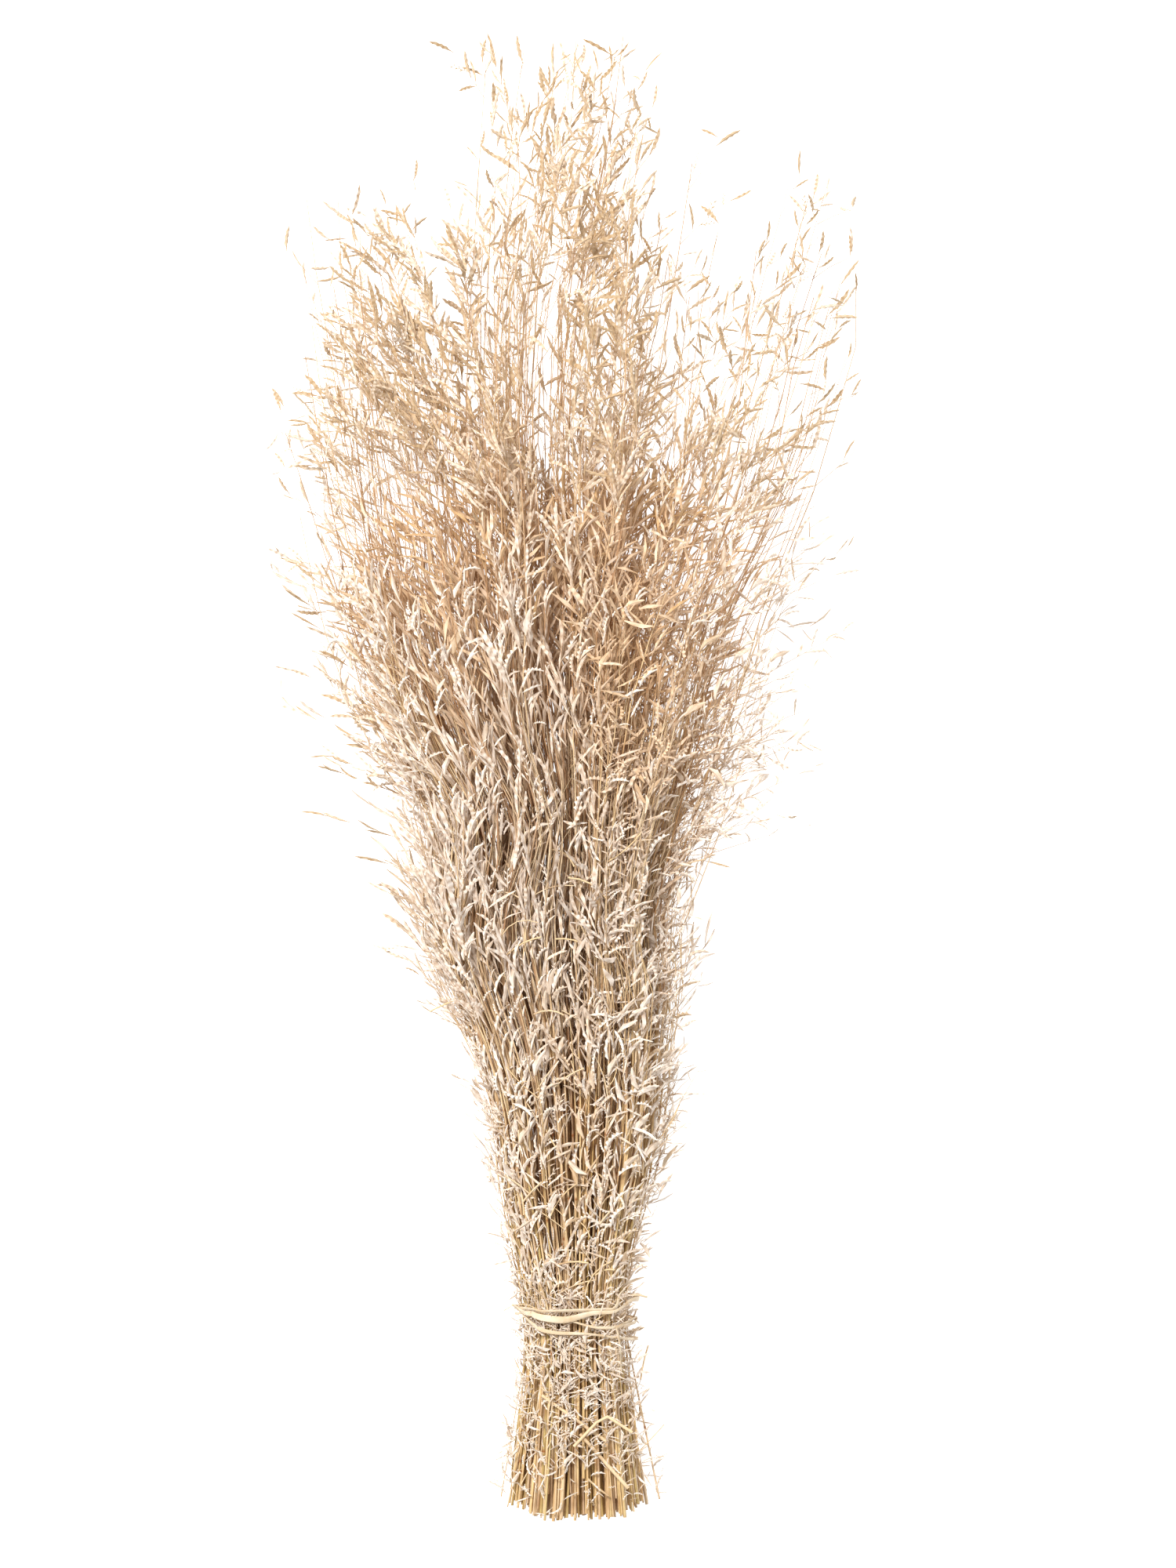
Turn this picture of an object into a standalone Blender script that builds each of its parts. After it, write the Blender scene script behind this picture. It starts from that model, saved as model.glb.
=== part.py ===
"""A bundle of dried munni grass, lying on its side.

Metres, +Z up. The stems run along +Y, from their cut ends to the flower heads. The surface that the
bundle lies on is Z = 0. The origin is on that surface, under the middle of the bundle.

The bundle is gathered from locks: small handfuls of stems whose heads hang together. Each lock is one
object, a tapering tube from the cut ends through the tie to the tip of its longest head. Three turns of
twisted straw hold the locks, and a few broken stalks are caught on top.
"""

import math
import random

import bpy
from mathutils import Vector

# Driving dimensions of the whole bundle.
LENGTH = 0.746
TIE_AT = 0.105  # along the bundle, from the cut ends
TIE_LIFT = 0.0044  # the straw tie passes under the stems and lifts them off the surface
TIE_LIFT_REACH = 0.085  # how far from the tie the stems come back down
CUT_END_STEP = 0.014  # the most that one lock's cut end stands back from another's

# The section's outline: distance from the cut ends, half width, height, and how far its middle drifts
# sideways. The bundle necks in at the tie and fans out to the heads.
OUTLINE = (
    (0.000, 0.0310, 0.0460, 0.006),
    (0.060, 0.0270, 0.0425, 0.006),
    (TIE_AT, 0.0240, 0.0405, 0.006),
    (0.170, 0.0350, 0.0490, 0.005),
    (0.300, 0.0630, 0.0720, 0.000),
    (0.450, 0.1140, 0.0990, -0.005),
    (0.600, 0.1660, 0.1160, -0.001),
    (LENGTH, 0.2060, 0.1200, 0.016),
)

# Locks lie in rows across the bundle, from the bottom row to the top one.
ROWS = (6, 7, 8, 9, 8, 7, 6)
WIDEST_ROW = max(ROWS)
GAP = 0.0004  # between one piece and the next

# A lock is a thin tube of stems up to its first heads, a loose spindle of heads, and a tip.
STEM_RADIUS = 0.0021
HEAD_RADIUS = (0.0058, 0.0071)  # the slimmest lock's and the fullest one's
TIP_RADIUS = 0.0012
HEAD_START = 0.28  # share of the lock's length where the heads begin
HEAD_FULL = 0.70
HEAD_STATIONS = 8
TUBE_SIDES_RESOLUTION = 2
FLAT_SIDE_DOWN = math.pi / 8  # turns an eight-sided tube on to one of its flats
FLAT_OVER_CORNER = math.cos(math.pi / 8)

# Where the locks' tips end: a tall narrow crown in the middle and a broad shoulder on each side.
CROWN_FALL = 0.85
SHOULDER_TIP = 0.688
SHOULDER_ACROSS = 0.64
SHOULDER_FALL = 0.95
DOME_FALL = 0.095  # how much shorter the bottom and top rows are than the middle one
TIP_RAGGED = 0.040

# How far a lock may stray from its row's even spacing, as a share of that spacing.
STRAY_ACROSS = 0.09
STRAY_UP = 0.06
STRAY_REACH = 0.35  # distance past the tie where a lock strays in full

# The straw tie: flat turns side by side, then one outer turn that crosses them and is tucked.
STRAND_HALF_WIDTH = 0.0015
STRAND_HALF_THICKNESS = 0.0005
STRAND_TURNS = 3
STRAND_PITCH = 0.0044
STRAND_SLANT = 0.0022
STRAND_POINTS = 32
CROSSING_SLANT = 0.0052
TUCK_ANGLE = math.radians(38)  # round from +X towards +Z
TUCK_POINTS = 26
TUCK_RISE = 0.0045  # how far the crossing turn's two ends pass over each other
TAIL_LENGTH = 0.021

# Broken stalks caught on top of the bundle: each one's bends, across and along.
STALK_RADIUS = 0.0009
STALKS = (
    ((-0.012, 0.064), (0.020, 0.041)),
    ((0.007, 0.045), (0.031, 0.018)),
    ((0.004, 0.039), (0.019, 0.055), (0.033, 0.046)),
)
STALK_STEPS = 4  # straight pieces between one bend and the next

rng = random.Random(41)


def clear_scene():
    for obj in list(bpy.data.objects):
        bpy.data.objects.remove(obj, do_unlink=True)


def make_collection(name):
    collection = bpy.data.collections.new(name)
    bpy.context.scene.collection.children.link(collection)
    return collection


def make_material(name, colour, roughness):
    material = bpy.data.materials.new(name)
    material.use_nodes = True
    shader = material.node_tree.nodes["Principled BSDF"]
    shader.inputs["Base Color"].default_value = (*colour, 1.0)
    shader.inputs["Roughness"].default_value = roughness
    shader.inputs["Metallic"].default_value = 0.0
    return material


def outline_at(along):
    """(half width, height, drift) of the section, on a smooth curve through OUTLINE."""
    last = len(OUTLINE) - 1
    span = next((i for i in range(last) if along <= OUTLINE[i + 1][0]), last - 1)
    before, after = max(span - 1, 0), min(span + 2, last)
    start, end = OUTLINE[span], OUTLINE[span + 1]
    width = end[0] - start[0]
    t = min(1.0, max(0.0, (along - start[0]) / width))
    found = []
    for k in (1, 2, 3):
        slope_in = (end[k] - OUTLINE[before][k]) / (end[0] - OUTLINE[before][0]) * width
        slope_out = (OUTLINE[after][k] - start[k]) / (OUTLINE[after][0] - start[0]) * width
        found.append(
            (2 * t**3 - 3 * t**2 + 1) * start[k]
            + (t**3 - 2 * t**2 + t) * slope_in
            + (3 * t**2 - 2 * t**3) * end[k]
            + (t**3 - t**2) * slope_out
        )
    return found


def lift_at(along):
    """How far the tie holds the bottom row off the surface: most at the tie, nothing away from it."""
    near = max(0.0, 1.0 - abs(along - TIE_AT) / TIE_LIFT_REACH)
    return TIE_LIFT * near * near * (3 - 2 * near)


def tip_of(across, up):
    """Distance from the cut ends to a lock's tip, before it is made ragged."""
    crown = LENGTH - CROWN_FALL * across**2
    shoulder = SHOULDER_TIP - SHOULDER_FALL * (abs(across) - SHOULDER_ACROSS) ** 2
    return max(crown, shoulder) - DOME_FALL * abs(up) ** 2.2


class Lock:
    """One lock's place in the bundle. across runs from -1 to 1 and up from -1, the bottom, to 1."""

    def __init__(self, row, column):
        count, middle = ROWS[row], (len(ROWS) - 1) / 2
        self.row = row
        self.across = (column - (count - 1) / 2) / ((WIDEST_ROW - 1) / 2)
        self.up = (row - middle) / middle
        self.head_radius = rng.uniform(*HEAD_RADIUS)
        self.start = 0.0 if row == middle and self.across == 0 else rng.uniform(0.0, CUT_END_STEP)
        self.stray_across = rng.uniform(-STRAY_ACROSS, STRAY_ACROSS)
        self.stray_up = rng.uniform(-STRAY_UP, STRAY_UP) if 0 < row < len(ROWS) - 1 else 0.0
        ragged = 0.0 if row == middle and self.across == 0 else rng.uniform(0.0, TIP_RAGGED)
        self.end = tip_of(self.across, self.up) - ragged
        # Points are close together at the tie and evenly spaced in the heads.
        self.stations = [self.start, TIE_AT * 0.55, TIE_AT - 0.018, TIE_AT + 0.018, TIE_AT + 0.06]
        step = (self.end - self.stations[-1]) / HEAD_STATIONS
        self.stations += [self.stations[-1] + step * (i + 1) for i in range(HEAD_STATIONS)]
        self.points = [self.centre(along) for along in self.stations]
        self.radii = [self.radius(along) for along in self.stations]

    def radius(self, along):
        share = (along - self.start) / (self.end - self.start)
        if share <= HEAD_START:
            return STEM_RADIUS
        if share <= HEAD_FULL:
            t = (share - HEAD_START) / (HEAD_FULL - HEAD_START)
            return STEM_RADIUS + (self.head_radius - STEM_RADIUS) * t * t * (3 - 2 * t)
        t = (share - HEAD_FULL) / (1 - HEAD_FULL)
        return self.head_radius + (TIP_RADIUS - self.head_radius) * t**1.8

    def centre(self, along):
        half_width, height, drift = outline_at(along)
        freedom = min(1.0, max(0.0, along - TIE_AT) / STRAY_REACH)
        pitch_across = 2 * half_width / WIDEST_ROW
        pitch_up = (height - 2 * STEM_RADIUS) / (len(ROWS) - 1)
        x = drift + pitch_across * (self.across * (WIDEST_ROW - 1) / 2 + self.stray_across * freedom)
        z = self.radius(along) * FLAT_OVER_CORNER + lift_at(along)
        z += pitch_up * (self.row + self.stray_up * freedom)
        return Vector((x, along - LENGTH / 2, z))

    def at(self, along):
        """The tube's centre at this distance, on the straight stretch between two of its points."""
        along = max(along, self.start)
        span = max(i for i, station in enumerate(self.stations[:-1]) if station <= along)
        share = (along - self.stations[span]) / (self.stations[span + 1] - self.stations[span])
        return self.points[span].lerp(self.points[span + 1], share)


def make_curve(name, points, radii, material, collection):
    """An open run of straight stretches, as a curve that the callers give a section to."""
    curve = bpy.data.curves.new(name, "CURVE")
    curve.dimensions = "3D"
    curve.twist_mode = "Z_UP"
    curve.use_fill_caps = True
    spline = curve.splines.new("POLY")
    spline.points.add(len(points) - 1)
    for point, place, radius in zip(spline.points, points, radii):
        point.co = (*place, 1.0)
        point.radius = radius
    curve.materials.append(material)
    obj = bpy.data.objects.new(name, curve)
    collection.objects.link(obj)
    return obj


def make_tube(name, points, radii, material, collection):
    """A tube of changing radius, one of its eight flats underneath, with its ends capped."""
    curve = make_curve(name, points, radii, material, collection).data
    curve.bevel_depth = 1.0
    curve.bevel_resolution = TUBE_SIDES_RESOLUTION
    for point in curve.splines[0].points:
        point.tilt = FLAT_SIDE_DOWN


def make_strand(name, points, widths, material, collection, closed):
    """A flat strand wound round the bundle, its width along the bundle's axis.

    The curve's own Z is the bundle's axis, so that its flat side faces the stems all the way round.
    """
    own = [(place.x, -place.z, place.y) for place in points]
    strand = make_curve(name, own, widths, material, collection)
    strand.rotation_euler = (-math.pi / 2, 0.0, 0.0)
    strand.data.extrude = STRAND_HALF_WIDTH - STRAND_HALF_THICKNESS
    strand.data.bevel_depth = STRAND_HALF_THICKNESS
    strand.data.bevel_resolution = 1
    strand.data.use_fill_caps = not closed
    strand.data.splines[0].use_cyclic_u = closed


def make_locks(locks, material, collection):
    for number, lock in enumerate(locks, start=1):
        make_tube(f"grass_lock_{number:02d}", lock.points, lock.radii, material, collection)


def skin_point(locks, along, angle, clearance):
    """The point on the bundle's skin, seen along its axis, in the direction of angle."""
    outward = Vector((math.cos(angle), 0.0, math.sin(angle)))
    outermost = max((lock.at(along) for lock in locks), key=outward.dot)
    point = outermost + outward * (STEM_RADIUS + clearance)
    point.y = along - LENGTH / 2
    return point


def make_tie(locks, material, collection):
    """Flat turns side by side, then an outer turn whose ends cross at the tuck and stand off."""
    clearance = STRAND_HALF_THICKNESS + GAP
    first = TIE_AT - STRAND_PITCH * (STRAND_TURNS - 1) / 2
    for turn in range(STRAND_TURNS):
        angles = [2 * math.pi * i / STRAND_POINTS for i in range(STRAND_POINTS)]
        points = [
            skin_point(locks, first + turn * STRAND_PITCH + STRAND_SLANT * math.cos(angle), angle, clearance)
            for angle in angles
        ]
        name = f"tie_turn_{turn + 1}"
        make_strand(name, points, [1.0] * STRAND_POINTS, material, collection, closed=True)

    outer = clearance + 2 * STRAND_HALF_THICKNESS + GAP
    points = []
    for i in range(TUCK_POINTS):
        share = i / (TUCK_POINTS - 1)
        angle = TUCK_ANGLE + 2 * math.pi * share
        along = TIE_AT + CROSSING_SLANT * math.cos(math.pi * share)
        points.append(skin_point(locks, along, angle, outer))
    outward = Vector((math.cos(TUCK_ANGLE), 0.0, math.sin(TUCK_ANGLE)))
    side = Vector((outward.z, 0.0, -outward.x))
    tail_one = (outward * 0.35 + side * 0.5 + Vector((0.0, 0.75, 0.0))).normalized() * TAIL_LENGTH
    tail_two = (outward * 0.35 - side * 0.5 - Vector((0.0, 0.75, 0.0))).normalized() * TAIL_LENGTH
    points = [points[0] + tail_one, points[0] + tail_one * 0.5] + points
    points += [points[-1] + tail_two * 0.5, points[-1] + tail_two]
    widths = [0.5, 0.8] + [1.0] * TUCK_POINTS + [0.8, 0.5]
    make_strand("tie_tucked_turn", points, widths, material, collection, closed=False)


def make_stalks(locks, material, collection):
    """Broken stalks that lie across the top of the cut-end stretch, each on the one before."""
    for number, bends in enumerate(STALKS):
        places = [Vector(bends[0])]
        for start, end in zip(bends, bends[1:]):
            places += [Vector(start).lerp(Vector(end), (i + 1) / STALK_STEPS) for i in range(STALK_STEPS)]
        tops = [max(lock.at(along).z for lock in locks) for _, along in places]
        height = max(tops) + STEM_RADIUS + GAP + STALK_RADIUS + number * (2 * STALK_RADIUS + GAP)
        points = [Vector((x, along - LENGTH / 2, height)) for x, along in places]
        name = f"loose_stalk_{number + 1}"
        make_tube(name, points, [STALK_RADIUS] * len(points), material, collection)


def main():
    clear_scene()
    collection = make_collection("munni_grass_bundle")
    grass = make_material("dried_grass", (0.62, 0.47, 0.31), 0.75)
    straw = make_material("straw_tie", (0.78, 0.64, 0.45), 0.65)
    locks = [Lock(row, column) for row in range(len(ROWS)) for column in range(ROWS[row])]
    make_locks(locks, grass, collection)
    make_tie(locks, straw, collection)
    make_stalks(locks, straw, collection)


main()
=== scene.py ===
"""The look of a tied bundle of dried munni grass, laid on a pale surface.

Each lock of the frame is a handful of stems. Here it becomes single culms with joints and cut ends, thin
flowering branches, and flat husky spikelets. Split straw blades bind the stems, loose spikelets and
chaff lie on them, and a few broken straws are caught near the cut ends.

The bundle lies along +Y, from its cut ends to its flower heads, and rests on Z = 0. Everything is in
metres. up is always the distance along the bundle from its cut ends.
"""

import functools
import math

import bpy
import numpy as np
from bpy.props import FloatProperty, FloatVectorProperty, IntProperty, PointerProperty
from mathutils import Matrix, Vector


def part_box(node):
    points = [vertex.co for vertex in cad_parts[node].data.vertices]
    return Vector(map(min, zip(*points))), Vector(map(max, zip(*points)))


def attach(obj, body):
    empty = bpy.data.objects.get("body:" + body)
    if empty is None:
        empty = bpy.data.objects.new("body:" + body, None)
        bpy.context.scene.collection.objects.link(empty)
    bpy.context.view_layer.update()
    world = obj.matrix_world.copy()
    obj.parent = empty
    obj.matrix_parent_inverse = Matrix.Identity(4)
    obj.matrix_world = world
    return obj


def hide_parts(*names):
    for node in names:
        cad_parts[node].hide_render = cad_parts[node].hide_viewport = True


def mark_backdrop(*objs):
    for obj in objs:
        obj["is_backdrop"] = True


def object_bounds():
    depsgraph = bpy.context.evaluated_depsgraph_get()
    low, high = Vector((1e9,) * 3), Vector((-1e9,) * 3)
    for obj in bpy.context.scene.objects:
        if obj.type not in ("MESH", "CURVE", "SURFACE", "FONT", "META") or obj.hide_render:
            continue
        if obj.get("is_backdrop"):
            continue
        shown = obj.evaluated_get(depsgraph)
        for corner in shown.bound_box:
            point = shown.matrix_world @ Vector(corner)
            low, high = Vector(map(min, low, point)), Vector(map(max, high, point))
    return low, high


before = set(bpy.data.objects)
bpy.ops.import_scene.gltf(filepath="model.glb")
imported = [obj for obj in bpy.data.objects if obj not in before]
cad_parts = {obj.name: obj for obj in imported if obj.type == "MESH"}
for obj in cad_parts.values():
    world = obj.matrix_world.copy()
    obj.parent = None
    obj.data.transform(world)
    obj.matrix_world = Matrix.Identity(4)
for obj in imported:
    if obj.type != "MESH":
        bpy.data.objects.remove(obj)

bl_info = {
    "name": "Dried Munni Grass Bundle",
    "version": (1, 0, 0),
    "blender": (4, 5, 0),
    "location": "3D View > Sidebar > Munni Grass",
    "description": "Makes a tied bundle of dried munni grass round its solid parts",
    "category": "Add Mesh",
}

SOLID_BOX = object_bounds()
CUT_ENDS_Y = SOLID_BOX[0].y
TIE_Y = sum(corner.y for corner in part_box("tie_turn_2")) / 2
LOCK_NAMES = sorted(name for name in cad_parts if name.startswith("grass_lock_"))
SURFACE = 0.0002  # nothing reaches nearer to the surface than this
LOWEST, HIGHEST = 0.0026, SOLID_BOX[1].z + 0.0060  # room for the roots of spikelets
LEFTMOST, RIGHTMOST = SOLID_BOX[0].x - 0.009, SOLID_BOX[1].x + 0.009
HIGHEST_TIP = 0.740  # no culm ends further up
MIDDLE_X = 0.008  # the middle line of the heads
FOOT_LENGTH = 0.105  # from the tie to the cut ends
FREE_LENGTH = 0.36  # above the tie, stems come free of each other over this length
WAVE_LENGTH = 0.34  # of the slowest wave in a culm
LONGEST_SPIKELET = 0.022
SKIN_STRIP = 0.0035  # stems this near, sideways, hold up the same loose spikelet
BRANCH_STEPS = 3  # straight bits in a flowering branch
SECTORS = 36  # directions in which the reach of the stems is measured
BAND_POINTS = 96  # round one turn of the tie
TUCK_ANGLE = math.radians(52)  # where the tucked blade leaves the stems, up from the right
END_POINTS = 7  # in each loose end of the tucked blade
CHAFF_SEED, TIE_SEED, STRAW_SEED = 5, 3, 8
LOOSE_SIZE_SEED, TIE_CHAFF_SIZE_SEED = 101, 102
AHEAD = np.array([0.0, 1.0, 0.0])  # from the cut ends to the heads

# Spikelet kinds, in the order of their names in the collection that the heads are made from.
FULL, PLAIN, SLIM, CURVED, BLADE, COMB, SHATTERED, SIMPLE, FLAKE = range(9)
# Where a branch is: in the outer stems, among the inner ones, underneath, or off a side, near or far.
OPEN, HIDDEN, UNDER, WISP, STRAY = range(5)

# Soft round spots seen from above: middle X, how far up, half width, half height.
HOLLOWS_IN_BODY = (
    (-0.007, 0.380, 0.007, 0.018),
    (0.021, 0.277, 0.009, 0.010),
    (-0.031, 0.250, 0.008, 0.020),
    (0.034, 0.398, 0.009, 0.014),
)
# Thinner places between the lobes of the heads: how much is missing, and the spot.
GAPS_IN_HEADS = (
    (0.75, -0.038, 0.600, 0.013, 0.055),
    (0.80, -0.092, 0.505, 0.021, 0.032),
    (0.40, -0.064, 0.500, 0.022, 0.040),
    (0.70, -0.016, 0.585, 0.022, 0.034),
    (0.85, 0.085, 0.445, 0.025, 0.055),
)
# Golden places and weathered places: how strong, and the spot.
GOLDEN = (
    (1.0, 0.034, 0.42, 0.036, 0.085),
    (0.15, 0.010, 0.60, 0.030, 0.14),
    (0.30, -0.045, 0.52, 0.040, 0.06),
    (0.6, 0.006, 0.20, 0.016, 0.09),
)
WEATHERED = (
    (1.0, -0.012, 0.345, 0.030, 0.075),
    (0.6, 0.030, 0.30, 0.024, 0.05),
    (0.5, -0.050, 0.32, 0.035, 0.11),
    (0.5, -0.028, 0.19, 0.018, 0.10),
)


# ---------------------------------------------------------------- settings


def linear(hexadecimal):
    """A linear colour with alpha, from an sRGB one written as six hexadecimal digits."""
    parts = [int(hexadecimal[i : i + 2], 16) / 255 for i in (0, 2, 4)]
    return tuple(c / 12.92 if c <= 0.04045 else ((c + 0.055) / 1.055) ** 2.4 for c in parts) + (1.0,)


def real(name, description, default, **options):
    return FloatProperty(name=name, description=description, default=default, **options)


def metres(name, description, default):
    return real(name, description, default, unit="LENGTH", precision=5)


def whole(name, description, default, least=0):
    return IntProperty(name=name, description=description, default=default, min=least)


def colour(name, description, hexadecimal):
    kind = {"subtype": "COLOR", "size": 4, "min": 0.0, "max": 1.0}
    return FloatVectorProperty(name=name, description=description, default=linear(hexadecimal), **kind)


class CulmSettings(bpy.types.PropertyGroup):
    per_lock: whole("Culms per lock", "Stems in one lock", 6, 1)
    stubs: whole("Stubs per lock", "Broken stems and sheaths in a lock", 3)
    radius: metres("Culm radius", "Radius at the cut end", 0.00086)
    tip_share: real("Tip thickness", "Thickness at the tip as a share of the cut end's", 0.22)
    waviness: metres("Waviness", "Most that a culm wanders in the heads", 0.0042)
    straw: colour("Straw", "Clean ripe straw", "F0CD90")
    bleached: colour("Bleached straw", "Straw that has faded in the sun", "ECD3AE")
    olive: colour("Olive straw", "Straw that dried while still green", "CDB670")
    # Brown straw also gives the painted shade of stems deep inside the bundle.
    brown: colour("Brown straw", "Weathered straw and joints", "92551F")


class HeadSettings(bpy.types.PropertyGroup):
    length: metres("Spikelet length", "Length of a usual spikelet", 0.0150)
    branch_gap: metres("Branch gap", "Distance between flowering branches", 0.042)
    branch_length: metres("Branch length", "Longest flowering branch", 0.080)
    spikelet_gap: metres("Spikelet gap", "Distance between spikelets on a branch", 0.0052)
    spread: real("Spread", "Usual angle between branch and culm", math.radians(21), unit="ROTATION")
    seed: whole("Seed", "Chooses one of many like heads", 11)
    wisps: whole("Side wisps", "Thin twigs that stand off the sides", 400)
    strays: whole("Stray twigs", "Long twigs that stand off the heads", 40)
    cream: colour("Cream husk", "Pale outer husks", "F8EEE2")
    tan: colour("Tan husk", "Usual husks", "F3E4D2")
    ripe: colour("Ripe husk", "Browner husks of the top", "C3AB8A")
    # The golden husk colour also gives the painted shade of husks deep inside the bundle.
    golden: colour("Golden husk", "Husks of the golden patches", "D8A868")
    bleached: colour("Bleached husk", "Greyish pink weathered husks", "EAD9C9")
    # The husk root colour is partly the scales' own colour and partly painted shade of the hollows under them.
    root: colour("Husk root", "The brown root of a husk", "9C7038")


class TieSettings(bpy.types.PropertyGroup):
    blade_width: metres("Blade width", "Width of a straw blade", 0.0034)
    blade_thickness: metres("Blade thickness", "Thickness of a folded blade", 0.0009)
    straw: colour("Tie straw", "Split cream straw", "F1DFC2")
    worn: colour("Worn straw", "Browner spots where it is creased", "D3AE7C")


class ChaffSettings(bpy.types.PropertyGroup):
    on_stems: whole("Loose spikelets", "Spikelets lying on the stems above the tie", 2200)
    at_tie: whole("Tie chaff", "Spikelets caught round the tie", 1550)
    straws: whole("Straw bits", "Fine broken bits on the stems", 130)


class StageSettings(bpy.types.PropertyGroup):
    camera_height: metres("Camera height", "Height of the camera above the surface", 2.6)
    view_length: metres("View length", "Length of surface the picture takes in", 0.78)
    floor: colour("Surface", "The pale surface the bundle lies on", "C8C8C8")
    glow: real("Surface glow", "Light the surface gives off", 0.9)
    sky: real("Sky", "Strength of the soft light all round", 0.66)
    key: real("Key light", "Power of the soft key light", 68.0, unit="POWER")


class GrassSettings(bpy.types.PropertyGroup):
    culms: PointerProperty(type=CulmSettings)
    heads: PointerProperty(type=HeadSettings)
    tie: PointerProperty(type=TieSettings)
    chaff: PointerProperty(type=ChaffSettings)
    stage: PointerProperty(type=StageSettings)


def settings():
    return bpy.context.scene.munni_grass


# ---------------------------------------------------------------- node helpers


def feed(tree, node, inputs):
    """Gives a node its inputs, in order or by key. Each is a value, or a node or socket to link."""
    for key, value in inputs.items() if isinstance(inputs, dict) else enumerate(inputs):
        if isinstance(value, bpy.types.Node):
            value = value.outputs[0]
        if isinstance(value, bpy.types.NodeSocket):
            tree.links.new(value, node.inputs[key])
        else:
            node.inputs[key].default_value = value
    return node


def add_node(tree, kind, inputs=(), **options):
    """A new node of a kind, with its options set and its inputs fed."""
    node = tree.nodes.new(kind)
    for name, value in options.items():
        setattr(node, name, value)
    return feed(tree, node, inputs)


def new_tree(name, **sockets):
    """A geometry tree with these named inputs, and the sockets that give them."""
    tree = bpy.data.node_groups.new(name, "GeometryNodeTree")
    for label, kind in {"Geometry": "Geometry", "Surface": "Float", "Material": "Material", **sockets}.items():
        tree.interface.new_socket(label, in_out="INPUT", socket_type="NodeSocket" + kind)
    tree.interface.new_socket("Geometry", in_out="OUTPUT", socket_type="NodeSocketGeometry")
    return tree, add_node(tree, "NodeGroupInput").outputs


def end_tree(tree, given, geometry):
    """Makes it real, moves what is under the surface up to it, as if pressed on it, and coats it."""
    real = add_node(tree, "GeometryNodeRealizeInstances", [geometry])
    x, y, z = add_node(tree, "ShaderNodeSeparateXYZ", [add_node(tree, "GeometryNodeInputPosition")]).outputs
    height = add_node(tree, "ShaderNodeMath", (z, given["Surface"]), operation="MAXIMUM")
    place = add_node(tree, "ShaderNodeCombineXYZ", (x, y, height))
    raised = add_node(tree, "GeometryNodeSetPosition", {"Geometry": real, "Position": place})
    coated = add_node(tree, "GeometryNodeSetMaterial", {"Geometry": raised, "Material": given["Material"]})
    add_node(tree, "NodeGroupOutput", [coated])
    return tree


@functools.lru_cache(maxsize=None)
def tube_tree():
    """Geometry Nodes: a round straw along every run of edges, as thick as its points say."""
    tree, given = new_tree("Straws along lines", Sides="Int")
    line = add_node(tree, "GeometryNodeMeshToCurve", [given["Geometry"]])
    thickness = add_node(tree, "GeometryNodeInputNamedAttribute", ["thickness"], data_type="FLOAT")
    circle = {"Resolution": given["Sides"], "Radius": 1.0}
    ring = add_node(tree, "GeometryNodeCurvePrimitiveCircle", circle, mode="RADIUS")
    parts = {"Curve": line, "Profile Curve": ring, "Scale": thickness, "Fill Caps": True}
    straw = add_node(tree, "GeometryNodeCurveToMesh", parts)
    smooth = add_node(tree, "GeometryNodeSetShadeSmooth", {"Geometry": straw, "Shade Smooth": True})
    return end_tree(tree, given, smooth)


@functools.lru_cache(maxsize=None)
def spikelet_tree():
    """Geometry Nodes: a spikelet on every point, of the kind, turn and size that the point says."""
    inputs = {"Kinds": "Collection", "Length": "Float", "Variation": "Float", "Seed": "Int"}
    tree, given = new_tree("Spikelets on points", **inputs)
    kinds = add_node(tree, "GeometryNodeCollectionInfo", (given["Kinds"], True, True))
    kind, turn, size = (
        add_node(tree, "GeometryNodeInputNamedAttribute", [name], data_type=data_type)
        for name, data_type in (("kind", "INT"), ("turn", "FLOAT_VECTOR"), ("size", "FLOAT"))
    )
    least, most = (
        add_node(tree, "ShaderNodeMath", (1.0, given["Variation"]), operation=step) for step in ("SUBTRACT", "ADD")
    )
    chance = add_node(
        tree, "FunctionNodeRandomValue", {2: least, 3: most, "Seed": given["Seed"]}, data_type="FLOAT"
    )
    usual = add_node(tree, "ShaderNodeMath", (size, given["Length"]), operation="MULTIPLY")
    points = {
        "Points": given["Geometry"],
        "Instance": kinds,
        "Pick Instance": True,
        "Instance Index": kind,
        "Rotation": add_node(tree, "FunctionNodeEulerToRotation", [turn]),
        "Scale": add_node(tree, "ShaderNodeMath", (usual, chance.outputs[1]), operation="MULTIPLY"),
    }
    return end_tree(tree, given, add_node(tree, "GeometryNodeInstanceOnPoints", points))


def run_tree(name, mesh, tree, **values):
    """The plain mesh that a tree makes from this one, as a new object at the origin."""
    seedling = place_piece(name, mesh)
    modifier = seedling.modifiers.new("Growth", "NODES")
    modifier.node_group = tree
    for item in tree.interface.items_tree:
        if item.in_out == "INPUT" and item.name in values:
            modifier[item.identifier] = values[item.name]
    depsgraph = bpy.context.evaluated_depsgraph_get()
    grown = bpy.data.meshes.new_from_object(
        seedling.evaluated_get(depsgraph), preserve_all_data_layers=True, depsgraph=depsgraph
    )
    grown.name = name
    bpy.data.objects.remove(seedling)
    bpy.data.meshes.remove(mesh)
    return place_piece(name, grown)


def place_piece(name, data):
    piece = bpy.data.objects.new(name, data)
    bpy.context.scene.collection.objects.link(piece)
    return piece


def finish_piece(piece, nodes):
    """Attaches a piece to what it rides on, and hides the solids that it stands for."""
    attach(piece, "root")
    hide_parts(*nodes)


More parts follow.
